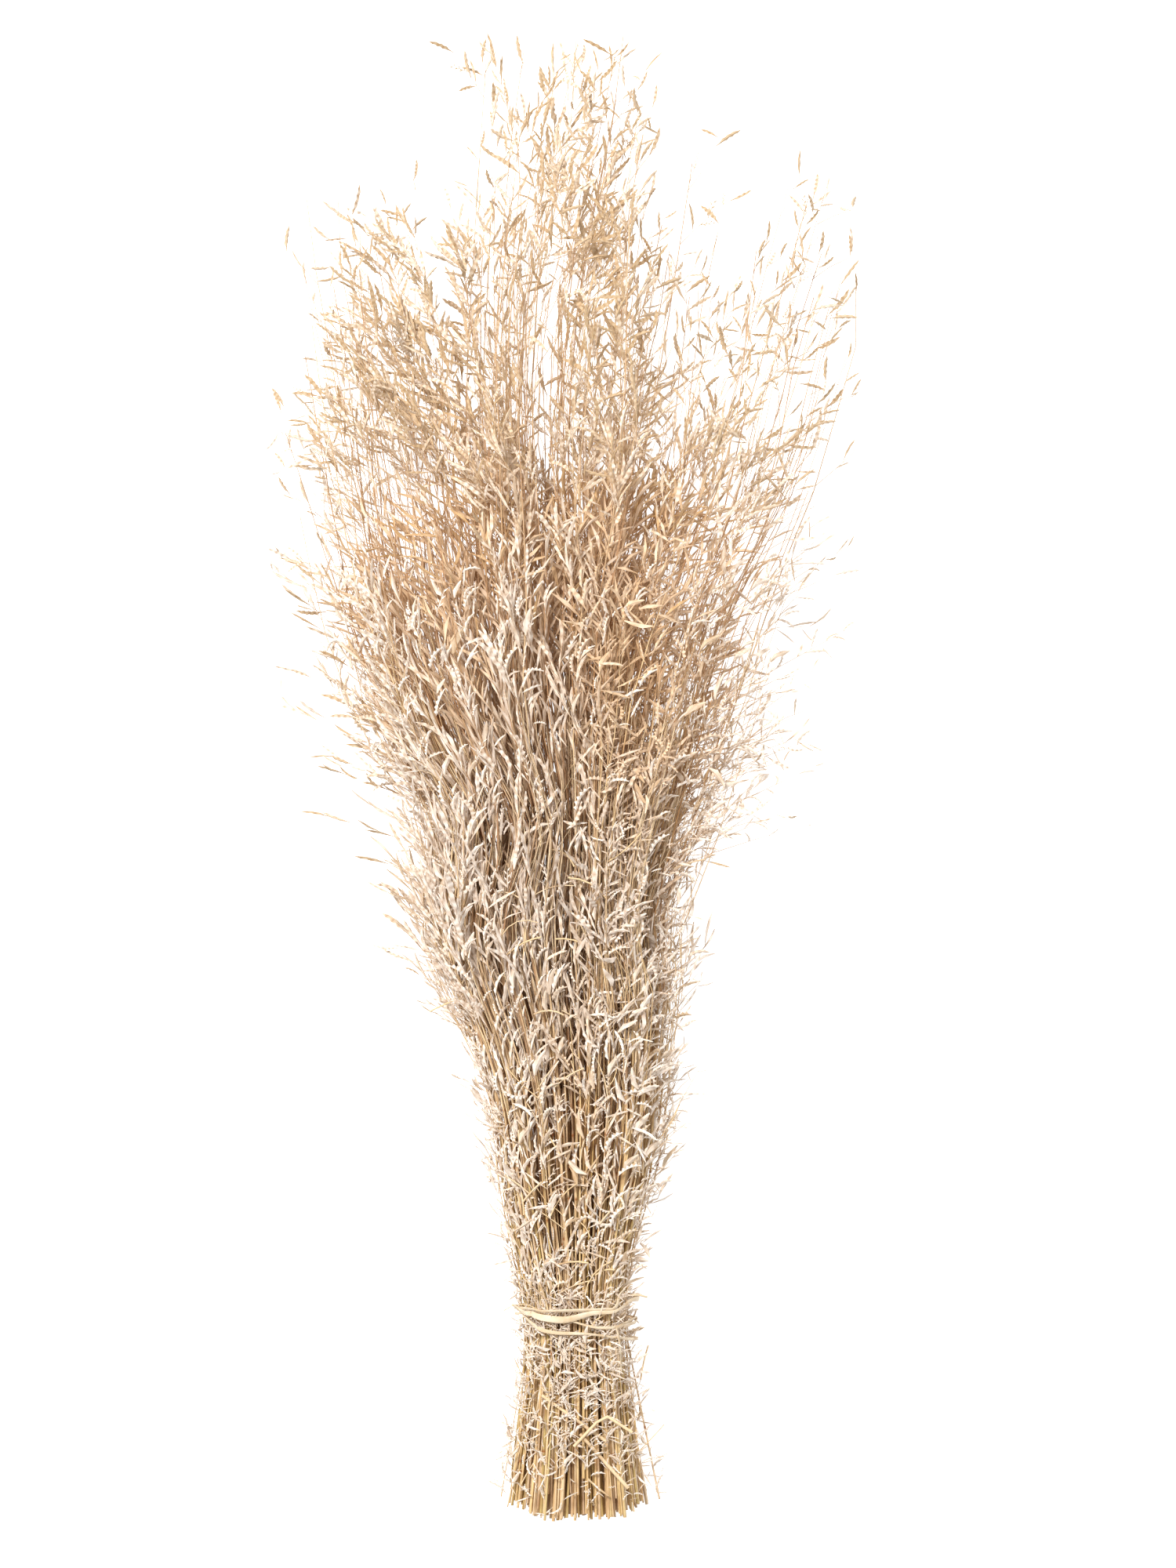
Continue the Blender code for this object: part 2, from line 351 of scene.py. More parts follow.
def keep_values(mesh, label, values, kind="FLOAT"):
    """Stores a value, or a vector, for each point of a mesh."""
    layer = mesh.attributes.new(label, kind, "POINT")
    numbers = np.array(values, dtype=np.int32 if kind == "INT" else np.float32).ravel()
    layer.data.foreach_set("vector" if kind == "FLOAT_VECTOR" else "value", numbers)


def faced_mesh(name, corners, faces, material, **values):
    """A mesh of one material, whose points keep these values."""
    mesh = bpy.data.meshes.new(name)
    mesh.from_pydata(corners, [], faces)
    mesh.materials.append(material)
    for label, numbers in values.items():
        keep_values(mesh, label, numbers)
    return mesh


def lines_mesh(name, lines):
    """A mesh of edge runs. Each line is (points, thickness, its other values that aren't 0)."""
    mesh = bpy.data.meshes.new(name)
    counts = [len(line[0]) for line in lines]
    first = np.cumsum([0, *counts])
    edges = [np.column_stack([np.arange(n - 1), np.arange(1, n)]) + start for n, start in zip(counts, first)]
    mesh.from_pydata(np.concatenate([line[0] for line in lines]).tolist(), np.concatenate(edges).tolist(), [])
    for label in ("thickness", "tint", "joint", "olive"):
        columns = [{"thickness": thickness, **values}.get(label, 0.0) for _, thickness, values in lines]
        keep_values(mesh, label, np.concatenate([np.broadcast_to(*pair) for pair in zip(columns, counts)]))
    return mesh


def points_mesh(name, spikelets):
    """A mesh of loose points, one for each spikelet, with what the tree has to know of it."""
    mesh = bpy.data.meshes.new(name)
    mesh.from_pydata([s.place.tolist() for s in spikelets], [], [])
    for label in ("size", "tint", "bleach", "gold"):
        keep_values(mesh, label, [getattr(s, label) for s in spikelets])
    keep_values(mesh, "kind", [s.kind for s in spikelets], "INT")
    turns = turns_of(np.array([s.along for s in spikelets]), np.array([s.roll for s in spikelets]))
    keep_values(mesh, "turn", turns, "FLOAT_VECTOR")
    return mesh


# ---------------------------------------------------------------- directions


def unit(vector):
    return vector / np.maximum(np.linalg.norm(vector, axis=-1, keepdims=True), 1e-12)


def ease(value):
    """A smooth step from 0 to 1."""
    value = np.clip(value, 0.0, 1.0)
    return value * value * (3 - 2 * value)


def hump(value, middle, width):
    """1 where a value is at the middle, falling softly to 0 on both sides."""
    return np.exp(-(((value - middle) / width) ** 2))


def spot(x, up, middle, height, half_width, half_height):
    """1 in the middle of a soft round spot seen from above, falling to 0 outside it."""
    return math.exp(-(((x - middle) / half_width) ** 2) - ((up - height) / half_height) ** 2)


def turns_of(along, roll):
    """XYZ turns that take +Y to each direction along, rolled round it."""
    along = unit(along)
    up = np.tile((0.0, 0.0, 1.0), (len(along), 1))
    up[np.abs(along[:, 2]) > 0.95] = (1.0, 0.0, 0.0)
    side = unit(np.cross(along, up))
    above = np.cross(side, along)
    cos, sin = np.cos(roll)[:, None], np.sin(roll)[:, None]
    side, above = side * cos + above * sin, above * cos - side * sin
    lift = -np.arcsin(np.clip(side[:, 2], -1, 1))
    return np.column_stack([np.arctan2(along[:, 2], above[:, 2]), lift, np.arctan2(side[:, 1], side[:, 0])])


def across(direction, rng):
    """A random unit vector square to a direction."""
    return unit(np.cross(direction, rng.normal(size=3)))


def lean(direction, towards, angle):
    """A direction turned by an angle towards a unit vector square to it."""
    return direction * math.cos(angle) + towards * math.sin(angle)


def settle(points, softness=0.0028):
    """Lets points near or below the surface lie on it, and keeps all in the bundle's room."""
    points = np.array(points, dtype=float)
    z = points[..., 2]
    below_top = HIGHEST - 0.5 * (z + np.sqrt(z * z + softness**2))
    points[..., 2] = HIGHEST - 0.5 * (below_top + np.sqrt(below_top * below_top + softness**2))
    points[..., 0] = np.clip(points[..., 0], LEFTMOST, RIGHTMOST)
    return points


def bend_on(start, heading, turn, length, steps):
    """Points of a bent line from a start. At each of its steps, turn(heading) is added to its heading."""
    points = [start]
    for _ in range(steps):
        heading = unit(heading + turn(heading))
        points.append(points[-1] + heading * length / steps)
    return settle(np.array(points))


# ---------------------------------------------------------------- the bundle's plan


class Course:
    """The line that a lock of stems follows, read off its solid from the cut ends to the tip."""

    def __init__(self, name):
        corners = np.array([vertex.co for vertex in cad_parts[name].data.vertices])
        corners = corners[np.argsort(corners[:, 1])]
        rings = np.split(corners, np.nonzero(np.diff(corners[:, 1]) > 0.008)[0] + 1)
        self.name = name
        self.points = np.array([np.unique(ring.round(6), axis=0).mean(axis=0) for ring in rings])
        self.start, self.end = self.points[0, 1], self.points[-1, 1]
        slopes = np.diff(self.points, axis=0) / np.diff(self.points[:, 1])[:, None]
        self.slopes = np.vstack([slopes[:1], (slopes[:-1] + slopes[1:]) / 2, slopes[-1:]])

    def at(self, y):
        """Smooth points of the line at these distances; past its ends it runs straight on."""
        y = np.atleast_1d(np.asarray(y, dtype=float))
        knots = self.points[:, 1]
        i = np.clip(np.searchsorted(knots, y) - 1, 0, len(knots) - 2)
        gap = (knots[i + 1] - knots[i])[:, None]
        t = np.clip((y - knots[i])[:, None] / gap, 0.0, 1.0)
        found = (
            (2 * t**3 - 3 * t**2 + 1) * self.points[i]
            + (t**3 - 2 * t**2 + t) * self.slopes[i] * gap
            + (3 * t**2 - 2 * t**3) * self.points[i + 1]
            + (t**3 - t**2) * self.slopes[i + 1] * gap
        )
        beyond = (y - np.clip(y, knots[0], knots[-1]))[:, None]
        found += beyond * np.where(beyond > 0, self.slopes[-1], self.slopes[0])
        found[:, 1] = y
        return found


class Culm:
    """One stem: its line, its thickness and where its head begins."""

    def __init__(self, course, number, count, outer, style, rng, stub=False):
        foot, tip = course.points[0, 0], course.points[-1, 0]
        self.course, self.stub = course, stub
        self.tint = rng.random()
        self.olive = rng.uniform(0.3, 0.9) if rng.random() < 0.45 else 0.0
        self.brown = rng.uniform(0.0, 0.35)
        # Where it stands in its lock: in a tight ring at the tie, and anywhere in the heads.
        turn = 2 * math.pi * (number / max(count - 1, 1) + foot * 40)
        reach = 0.0034 if stub else 0.0 if number == 0 else 0.00205
        self.tied = reach * np.array([math.cos(turn), math.sin(turn)])
        angle, radius = rng.uniform(0, 2 * math.pi), math.sqrt(rng.random())
        self.loose = radius * np.array([0.0155 * math.cos(angle), 0.0090 * math.sin(angle)])
        if outer > 0.6:
            self.loose[0] += math.copysign(rng.exponential(0.0085) - 0.0075, tip)
        # Where it is cut: nearly flush, a little higher off the middle, now and then much higher.
        aside = abs(foot - 0.0065)
        self.start = CUT_ENDS_Y + 0.12 * (course.start - CUT_ENDS_Y) + 0.006 * ease((aside - 0.012) / 0.018)
        uneven = rng.uniform(0.0, 0.002) + rng.exponential(0.0012)
        self.start += uneven + (rng.random() < 0.12) * rng.uniform(0.003, 0.02)
        self.kick = rng.normal(0.0, 1.0, 2) * (0.0030, 0.0016)
        # Where it ends: highest in the crown and the tuft left of it, and short at the far sides.
        far = abs(tip - 0.012) > 0.09
        short = rng.uniform(0.0, 0.06) if number < 2 else rng.uniform(0.04, 0.22 + 0.08 * far)
        crown = hump(tip, 0.004, 0.044)
        short *= 1.0 - 0.45 * max(crown, hump(tip, -0.085, 0.045))
        tuft = 0.05 * hump(tip, -0.030, 0.020) * (number < 3)
        self.end = course.end + 0.006 + 0.012 * crown + tuft - (0.0 if number == 0 else short)
        self.end = TIE_Y + rng.uniform(0.03, 0.20) if stub else min(self.end, CUT_ENDS_Y + HIGHEST_TIP)
        self.radius = style.radius * rng.uniform(0.50, 1.15) * (0.75 if stub else 1.0)
        self.tip_share = style.tip_share
        self.waves = [
            (rng.uniform(0.3, 1.0) * style.waviness / k, 2 * math.pi * k / WAVE_LENGTH, rng.uniform(0, 2 * math.pi))
            for k in (1, 2, 4)
            for _ in range(2)
        ]
        self.joints = [TIE_Y + rng.uniform(-0.085, -0.015), TIE_Y + rng.uniform(0.03, 0.12)]

    def at(self, y):
        """Points of its middle line at these distances."""
        y = np.atleast_1d(np.asarray(y, dtype=float))
        up = y - CUT_ENDS_Y
        points = self.course.at(y)
        free = ease((y - TIE_Y) / FREE_LENGTH)[:, None]
        below = np.clip((TIE_Y - y) / FOOT_LENGTH, 0, 1)[:, None]
        points[:, [0, 2]] += self.tied * (1 - free) * (1 + 0.30 * below) + self.loose * free
        points[:, 0] += (points[:, 0] - 0.005) * 0.19 * below[:, 0]
        # The outline: bulges and a waist on the left, a swelling and a hollow on the right.
        bulge = 0.0085 * hump(up, 0.285, 0.040) + 0.0062 * hump(up, 0.145, 0.050) - 0.012 * hump(up, 0.348, 0.032)
        swell = 0.0055 * hump(up, 0.185, 0.045)
        swell -= 0.012 * ease((up - 0.26) / 0.04) * (1 - ease((up - 0.44) / 0.08))
        points[:, 0] += swell * ease((points[:, 0] - 0.010) / 0.030) - bulge * ease((0.016 - points[:, 0]) / 0.050)
        # The heads part left of the middle, and the outermost at the left lean back in.
        high = ease((up - 0.44) / 0.10)
        parted = high * (1 - ease((up - 0.58) / 0.10))
        points[:, 0] -= 0.008 * parted * hump(points[:, 0], -0.006, 0.020)
        points[:, 0] += 0.006 * high * ease((-0.085 - points[:, 0]) / 0.030)
        points[:, [0, 2]] += self.kick * below**1.3
        for axis, (height, pace, phase) in zip((0, 2, 0, 2, 0, 2), self.waves):
            points[:, axis] += height * free[:, 0] * np.sin(pace * y + phase)
        return settle(points)

    def line(self, depth_of):
        """Its points, thickness and colours, with points close together only at the joints."""
        y = np.linspace(self.start, self.end, 9 if self.stub else 18)
        share = (y - self.start) / (self.end - self.start)
        thickness = self.radius * (1 + (self.tip_share - 1) * share**0.8)
        dark = np.zeros_like(y)
        for place in self.joints:
            if self.start + 0.004 < place < self.end - 0.01:
                swell = np.interp(place, y, thickness) * np.array([1.0, 1.34, 1.0])
                y = np.append(y, place + np.array([-0.0016, -0.0003, 0.0012]))
                thickness = np.append(thickness, swell)
                dark = np.append(dark, (0.3, 1.0, 0.0))
        dark[0] = 0.3
        y, thickness = np.append(y, self.start + 0.0014), np.append(thickness, thickness[0])
        dark = np.append(dark, 0.15)
        order = np.argsort(y)
        y, thickness, dark = y[order], thickness[order], dark[order]
        up = y - CUT_ENDS_Y
        points = self.at(y)
        # Browner deep inside the bundle, which is painted shade of the gaps between the stems and partly straw kept
        # from the sun, and browner in the heads; faded in the heads, olive below them.
        deep_brown_and_shade = 0.52 + 0.16 * ease((y - TIE_Y) / 0.04)
        brown = self.brown + (deep_brown_and_shade - self.brown) * ease((depth_of(points) - 0.002) / 0.013)
        brown = np.maximum(brown, (self.brown + 0.30) * ease((up - 0.40) / 0.10))
        faded = np.array([max(self.tint, bleach_at(point[0], point[1])) for point in points])
        faded = np.maximum(faded, 0.7 * ease((up - 0.36) / 0.12))
        olive = self.olive * (1 - ease((y - TIE_Y - 0.03) / 0.12))
        return points, thickness, {"tint": faded, "joint": np.maximum(dark, brown), "olive": olive}


class Spikelet:
    """One spikelet. It is turned back where it would go into the surface or out of the bundle's room."""

    def __init__(self, place, along, roll, size, kind, tint, bleach, gold=0.0):
        place, along = np.array(place), unit(np.array(along))
        reach = LONGEST_SPIKELET * size
        # More than one pass, as bringing it back to unit length undoes a little of each.
        for axis, low, high in 4 * ((0, LEFTMOST, RIGHTMOST), (2, LOWEST, HIGHEST)):
            place[axis] = min(max(place[axis], low), high)
            along[axis] = min(max(along[axis], (low - place[axis]) / reach), (high - place[axis]) / reach)
            along = unit(along)
        self.place, self.along, self.roll, self.size = place, along, roll, size
        self.kind, self.tint, self.bleach, self.gold = kind, tint, bleach, gold


def bare_at(x, y):
    """How bare the stems are: the middle of the body has shed its spikelets, and so have small hollows."""
    up = y - CUT_ENDS_Y
    return max(spot(x, up, -0.005, 0.350, 0.024, 0.047), *(spot(x, up, *hollow) for hollow in HOLLOWS_IN_BODY))


def wanted(x, y):
    """How full the heads are at a place seen from above, from 0 to 1 and more where they are thickest.

    Three lobes hang out of one thick body: a tall one in the middle and a shoulder on each side.
    """
    up = y - CUT_ENDS_Y
    right_side, left_side = 0.028 + 0.13 * (up - 0.28), -0.050 - 0.18 * (up - 0.28)
    body = 1.0 - ease((up - 0.46) / 0.13)
    body *= 1.0 - 0.86 * max(ease((x - right_side) / 0.03), ease((left_side - x) / 0.03))
    crown_middle = np.interp(up, (0.50, 0.60, 0.64, 0.68, 0.72), (0.024, 0.022, 0.014, 0.009, 0.001))
    crown_width = np.interp(up, (0.60, 0.66, 0.72), (0.021, 0.028, 0.034))
    crown = 1.25 + 0.25 * ease((up - 0.60) / 0.03) - 0.10 * ease((up - 0.66) / 0.03)
    crown *= hump(x, crown_middle, crown_width)
    crown *= 1.0 - 0.35 * ease((up - 0.72) / 0.03)
    tuft = 1.7 * spot(x, up, -0.032, 0.708, 0.026, 0.030)
    left = 1.9 * hump(x, np.interp(up, (0.50, 0.62), (-0.078, -0.060)), 0.040)
    left *= 1.0 - 0.9 * ease((up - 0.625) / 0.045)
    left *= 0.25 + 0.75 * ease((up - 0.49) / 0.07)
    left += 0.9 * spot(x, up, -0.078, 0.615, 0.024, 0.028)
    cluster = 1.5 * spot(x, up, -0.040, 0.53, 0.018, 0.045)
    right = 1.3 * hump(x, 0.072, 0.026) * (1.0 - ease((up - 0.52) / 0.05))
    right += 0.70 * hump(x, 0.090, 0.040) * (0.20 + 0.80 * ease((up - 0.54) / 0.05))
    right *= 0.6 + 0.4 * ease((up - 0.46) / 0.06)
    fuller = 1.12 + 0.13 * ease((up - 0.42) / 0.12)
    for missing, *gap in GAPS_IN_HEADS:
        fuller *= 1.0 - missing * spot(x, up, *gap)
    inside = LEFTMOST < x < RIGHTMOST and y < SOLID_BOX[1].y - 0.016
    return 0.95 * fuller * max(body, crown, left, cluster, right, tuft) * (1.0 - 0.90 * bare_at(x, y)) * inside


def high_at(y):
    """How high in the heads a place is: 0 in the body, 1 in the lobes."""
    return ease((y - CUT_ENDS_Y - 0.40) / 0.14)


def ripe_at(x, y):
    """How brown husks are: most at the top and the sides, which had the most sun."""
    up = y - CUT_ENDS_Y
    return max(ease((up - 0.42) / 0.15), 0.8 * ease((abs(x - MIDDLE_X) - 0.20 * up) / 0.03))


def gold_at(x, y):
    """How golden husks are: most in a patch right of the middle."""
    return max(strength * spot(x, y - CUT_ENDS_Y, *place) for strength, *place in GOLDEN)


def neat_at(x, y):
    """How close spikelets lie along their culms: most in the left of the body, least at the top."""
    up = y - CUT_ENDS_Y
    return ease((0.008 - x) / 0.02) * ease((0.47 - up) / 0.08)


def mess_at(x, y):
    """How tangled husks are: most in the right of the body and near the tie."""
    up = y - CUT_ENDS_Y
    return max(ease((x - 0.006) / 0.02) * ease((0.52 - up) / 0.08), 0.8 * ease((0.24 - up) / 0.05))


def bleach_at(x, y):
    """How weathered husks are: most in the middle of the body, least at the sides and the top."""
    return min(1.0, sum(strength * spot(x, y - CUT_ENDS_Y, *place) for strength, *place in WEATHERED))


class Plan:
    """Every culm, branch and spikelet of the bundle, by lock."""

    def __init__(self, culm_style, head_style):
        self.style = head_style
        self.courses = [Course(name) for name in LOCK_NAMES]
        section = np.array([course.at(TIE_Y)[0][[0, 2]] for course in self.courses])
        middle = section.mean(axis=0)
        reach = np.abs(section - middle).max(axis=0)
        self.culms, self.stubs, self.places = {}, {}, {}
        self.branches, self.spikelets = {}, {}
        for number, (course, place) in enumerate(zip(self.courses, section)):
            rng = np.random.default_rng([head_style.seed, number])
            outer = float(min(1.0, np.linalg.norm((place - middle) / reach)))
            shared = (culm_style.per_lock, outer, culm_style, rng)
            self.culms[course.name] = [Culm(course, k, *shared) for k in range(culm_style.per_lock)]
            self.stubs[course.name] = [Culm(course, k + 0.5, *shared, stub=True) for k in range(culm_style.stubs)]
            self.places[course.name] = HIDDEN if outer < 0.62 else UNDER if place[1] < 0.010 else OPEN
        self.all_culms = [culm for culms in self.culms.values() for culm in culms]
        self.levels = np.linspace(CUT_ENDS_Y + 0.008, CUT_ENDS_Y + 0.48, 96)
        self.rows = np.stack([culm.at(self.levels) for culm in self.all_culms], axis=1)
        self.measure_hull()
        for number, lock in enumerate(LOCK_NAMES):
            rng = np.random.default_rng([head_style.seed, number, 1])
            self.branches[lock], self.spikelets[lock] = [], []
            for culm in self.culms[lock]:
                self.grow_head(culm, lock, self.places[lock], rng)
        self.grow_wisps()

    def measure_hull(self):
        """How far the stems reach from the middle of the bundle, at each level and in each direction."""
        self.middles = self.rows.mean(axis=1)[:, [0, 2]]
        away = self.rows[:, :, [0, 2]] - self.middles[:, None]
        sector, reach = self.sector(away), np.linalg.norm(away, axis=2)
        self.hull = np.zeros((len(self.levels), SECTORS))
        for turn in range(SECTORS):
            near = np.isin(sector, [(turn + k) % SECTORS for k in (-1, 0, 1)])
            self.hull[:, turn] = np.where(near, reach, 0.0).max(axis=1)

    def sector(self, away):
        """The numbers of the sectors that these ways from the middle are in."""
        return (np.degrees(np.arctan2(away[..., 1], away[..., 0])) // (360 // SECTORS)).astype(int) % SECTORS

    def depth(self, points):
        """How deep points are under the outermost stems. Above the last level, where heads are open, it is 0."""
        points = np.atleast_2d(points)
        level = np.clip(np.searchsorted(self.levels, points[:, 1]), 0, len(self.levels) - 1)
        away = points[:, [0, 2]] - self.middles[level]
        deep = np.maximum(self.hull[level, self.sector(away)] - np.linalg.norm(away, axis=1), 0.0)
        return deep * (1 - ease((points[:, 1] - self.levels[-1] + 0.02) / 0.08))

    def grow_head(self, culm, lock, place_in, rng):
        """The branches of one culm's head, shorter towards its top, and a last one on its tip."""
        hidden = place_in == HIDDEN
        head_length = rng.uniform(0.24, 0.40) if hidden else rng.uniform(0.30, 0.44)
        lowest = CUT_ENDS_Y + 0.24 if hidden else TIE_Y + rng.uniform(0.06, 0.16)
        y = max(culm.end - head_length, lowest)
        while y < culm.end - 0.010:
            share = (y - culm.end + head_length) / head_length
            root, ahead = culm.at([y, y + 0.004])
            heading = unit(ahead - root)
            high = ease((y - CUT_ENDS_Y - 0.30) / 0.25)
            neat = neat_at(root[0], root[1])
            angle = self.style.spread * rng.uniform(0.35, 1.5) * (0.70 + 0.75 * high) * (1.0 - 0.6 * neat)
            length = self.style.branch_length * rng.uniform(0.5, 1.0) * (1.0 - 0.5 * share)
            # High branches turn away from the middle of the bundle, those at the left most of all.
            away = np.array([root[0] - 0.016, 0.0, 0.6 * (root[2] - 0.055)])
            inner_left = root[0] < 0.004 and y < CUT_ENDS_Y + 0.57
            pull = 14.0 if root[0] < -0.03 else 24.0 if inner_left else 6.0
            towards = unit(across(heading, rng) + pull * away * high)
            self.grow_branch(root, lean(heading, towards, angle), length, lock, place_in, rng)
            y += self.style.branch_gap * rng.uniform(0.55, 1.35)
        root, ahead = culm.at([culm.end - 0.012, culm.end])
        self.grow_branch(root, unit(ahead - root), 0.022, lock, place_in, rng)
        if place_in == OPEN:
            for _ in range(2):
                self.grow_shoot(culm, lock, rng)

    def grow_shoot(self, culm, lock, rng):
        """A thin bare side shoot that runs close along its culm."""
        share = np.linspace(0, 1, 7)
        points = culm.at(TIE_Y + rng.uniform(0.06, 0.21) + share * rng.uniform(0.09, 0.17))
        aside = across(unit(points[-1] - points[0]), rng) * rng.uniform(0.002, 0.007)
        points = settle(points + aside * ease(2 * share)[:, None])
        faded = max(rng.random(), bleach_at(points[3, 0], points[3, 1]))
        values = {"tint": faded, "joint": rng.uniform(0.0, 0.35)}
        self.branches[lock].append((points, np.linspace(0.00042, 0.00018, len(share)), values))

    def grow_wisps(self):
        """Thin twigs with a few spikelets that stand off the sides: many short ones, then a few long ones."""
        rng = np.random.default_rng([self.style.seed, len(self.courses)])
        for place_in in [WISP] * self.style.wisps + [STRAY] * self.style.strays:
            wisp = place_in == WISP
            if wisp:
                level = int(3 + rng.beta(1.2, 1.05) * (len(self.levels) - 16))
            else:
                level = int(rng.uniform(0.64, 0.98) * len(self.levels))
            side = rng.choice([-1.0, 1.0], p=[0.48, 0.52] if wisp else [0.25, 0.75])
            order = np.argsort(self.rows[level, :, 0] * side)
            chosen = order[-1 - int(rng.uniform(0, 24))]
            root, ahead = self.rows[level, chosen], self.rows[level + 1, chosen]
            heading = unit(ahead - root)
            if self.levels[level] < TIE_Y - 0.03 and rng.random() < 0.6:
                heading = -heading
            outward = unit(np.array([side, 0.0, rng.uniform(-0.3, 0.6) * (1.0 if wisp else 0.15)]))
            direction = unit(lean(heading, outward, rng.uniform(0.15, 0.9)))
            length = rng.uniform(0.010, 0.030) * (0.35 + 0.65 * ease((self.levels[level] - TIE_Y) / 0.08))
            if not wisp:
                length = min(0.020 + 1.8 * length, (RIGHTMOST - abs(root[0])) / 0.85)
                direction = unit(lean(heading, outward, rng.uniform(0.6, 1.2)))
            lock = LOCK_NAMES[chosen // (len(self.all_culms) // len(LOCK_NAMES))]
            self.grow_branch(root, direction, length, lock, place_in, rng)

    def grow_branch(self, root, direction, length, lock, place_in, rng):
        """A thin branch that droops outwards, with spikelets left and right by turns."""
        steps = BRANCH_STEPS
        droop = 0.45 * ease((abs(root[0] - MIDDLE_X) - 0.035) / 0.04) * math.copysign(1.0, root[0] - MIDDLE_X)
        bend = across(direction, rng) * rng.uniform(-0.55, 0.55) + np.array([droop, 0.10 - 0.5 * abs(droop), -0.05])
        points = bend_on(root, direction, lambda _: bend / steps, length, steps)
        kept = []
        reach, side = length * rng.uniform(0.15, 0.3), 1.0
        flat = across(direction, rng)
        dull = rng.uniform(-0.18, 0.18)
        while reach <= length:
            share = reach / length * steps
            i = min(int(share), steps - 1)
            place = points[i] + (points[i + 1] - points[i]) * (share - i)
            heading = unit(points[i + 1] - points[i])
            square = unit(np.cross(heading, flat)) * side
            mess = mess_at(place[0], place[1])
            high = high_at(place[1])
            turn = rng.uniform(0.06 + 0.12 * high, 0.62 + 0.7 * mess + 0.42 * high)
            turn *= 1.0 - 0.5 * neat_at(place[0], place[1])
            if place_in == WISP:
                chance = 0.75
            elif place_in == STRAY:
                chance = 0.65 * ease((share / steps - 0.2) / 0.2)
            else:
                chance = wanted(place[0], place[1]) * (0.6 if place_in == UNDER else 1.0)
            while chance > 0 and rng.random() < chance:
                kept.append(self.spikelet(place, lean(heading, square, turn), place_in, dull, rng))
                square, turn, chance = -square, rng.uniform(0.15, 0.7), chance - 1
            side = -side
            reach += self.style.spikelet_gap * rng.uniform(0.7, 1.35)
        if kept:
            # Painted shade: branches deep under the outer stems get more brown.
            inner = 0.20 * float(ease((self.depth(root)[0] - 0.004) / 0.012))
            values = {"tint": rng.uniform(0.5, 1.0), "joint": min(rng.uniform(0, 0.5) + inner, 1.0)}
            self.branches[lock].append((points, np.linspace(0.00022, 0.00010, steps + 1), values))
            self.spikelets[lock] += kept

    def spikelet(self, place, along, place_in, dull, rng):
        """A spikelet whose kind, size and colours suit its place."""
        x, y = place[0], place[1]
        high, mess = high_at(y), mess_at(x, y)
        size = rng.uniform(0.60, 1.10) ** 0.9
        deep = self.depth(place)[0]
        if high < 0.9 and (place_in in (HIDDEN, UNDER) or deep > 0.012 or place[2] < 0.030):
            kinds = {SIMPLE: 0.75, BLADE: 0.25}
        elif rng.random() < high:
            kinds = {FULL: 0.12, PLAIN: 0.44, SLIM: 0.34, BLADE: 0.06, SHATTERED: 0.04}
            size *= 0.76
        elif rng.random() < mess:
            kinds = {BLADE: 0.15, SLIM: 0.18, PLAIN: 0.10, CURVED: 0.28, FLAKE: 0.09, COMB: 0.20}
            size *= 0.75
        else:
            kinds = {BLADE: 0.26, SLIM: 0.38, PLAIN: 0.18, CURVED: 0.12, COMB: 0.06}
        kind = int(rng.choice(list(kinds), p=list(kinds.values())))
        size *= {WISP: 0.6, STRAY: 0.9}.get(place_in, 1.0)
        # Painted shade: husks deep under the outer stems are made darker, less bleached and more golden, as the gaps
        # between the stems look in shade.
        shade = float(ease((deep - 0.006) / 0.018))
        # Husks in the tangle are made lighter, painted light that lifts the shadows of the tangle.
        tint = rng.normal(0.79 + 0.26 * mess + dull - 0.60 * ripe_at(x, y) - 0.12 * shade, 0.18)
        bleach = bleach_at(x, y) * (1.0 - 0.8 * shade)
        gold = max(gold_at(x, y), 0.75 * shade)
        roll = rng.normal(0.0, 0.8 - 0.3 * high) + rng.choice([0.0, math.pi])
        return Spikelet(place, along, roll, size, kind, min(max(tint, 0.0), 1.0), bleach, gold)


@functools.lru_cache(maxsize=None)
def plan():
    return Plan(settings().culms, settings().heads)


# ---------------------------------------------------------------- materials


def new_material(name, *labels):
    """A material, its tree, the place on a piece, and the values with these labels that points keep."""
    material = bpy.data.materials.new(name)
    material.use_nodes = True
    tree = material.node_tree
    place = add_node(tree, "ShaderNodeTexCoord").outputs["Object"]
    values = [add_node(tree, "ShaderNodeAttribute", attribute_name=label).outputs["Fac"] for label in labels]
    return material, tree, place, *values


def mix(tree, share, first, second, blend="MIX"):
    """The colour between two others, or of one worn by the other when they are multiplied."""
    colours = {0: share, 6: first, 7: second}
    return add_node(tree, "ShaderNodeMix", colours, data_type="RGBA", blend_type=blend).outputs[2]


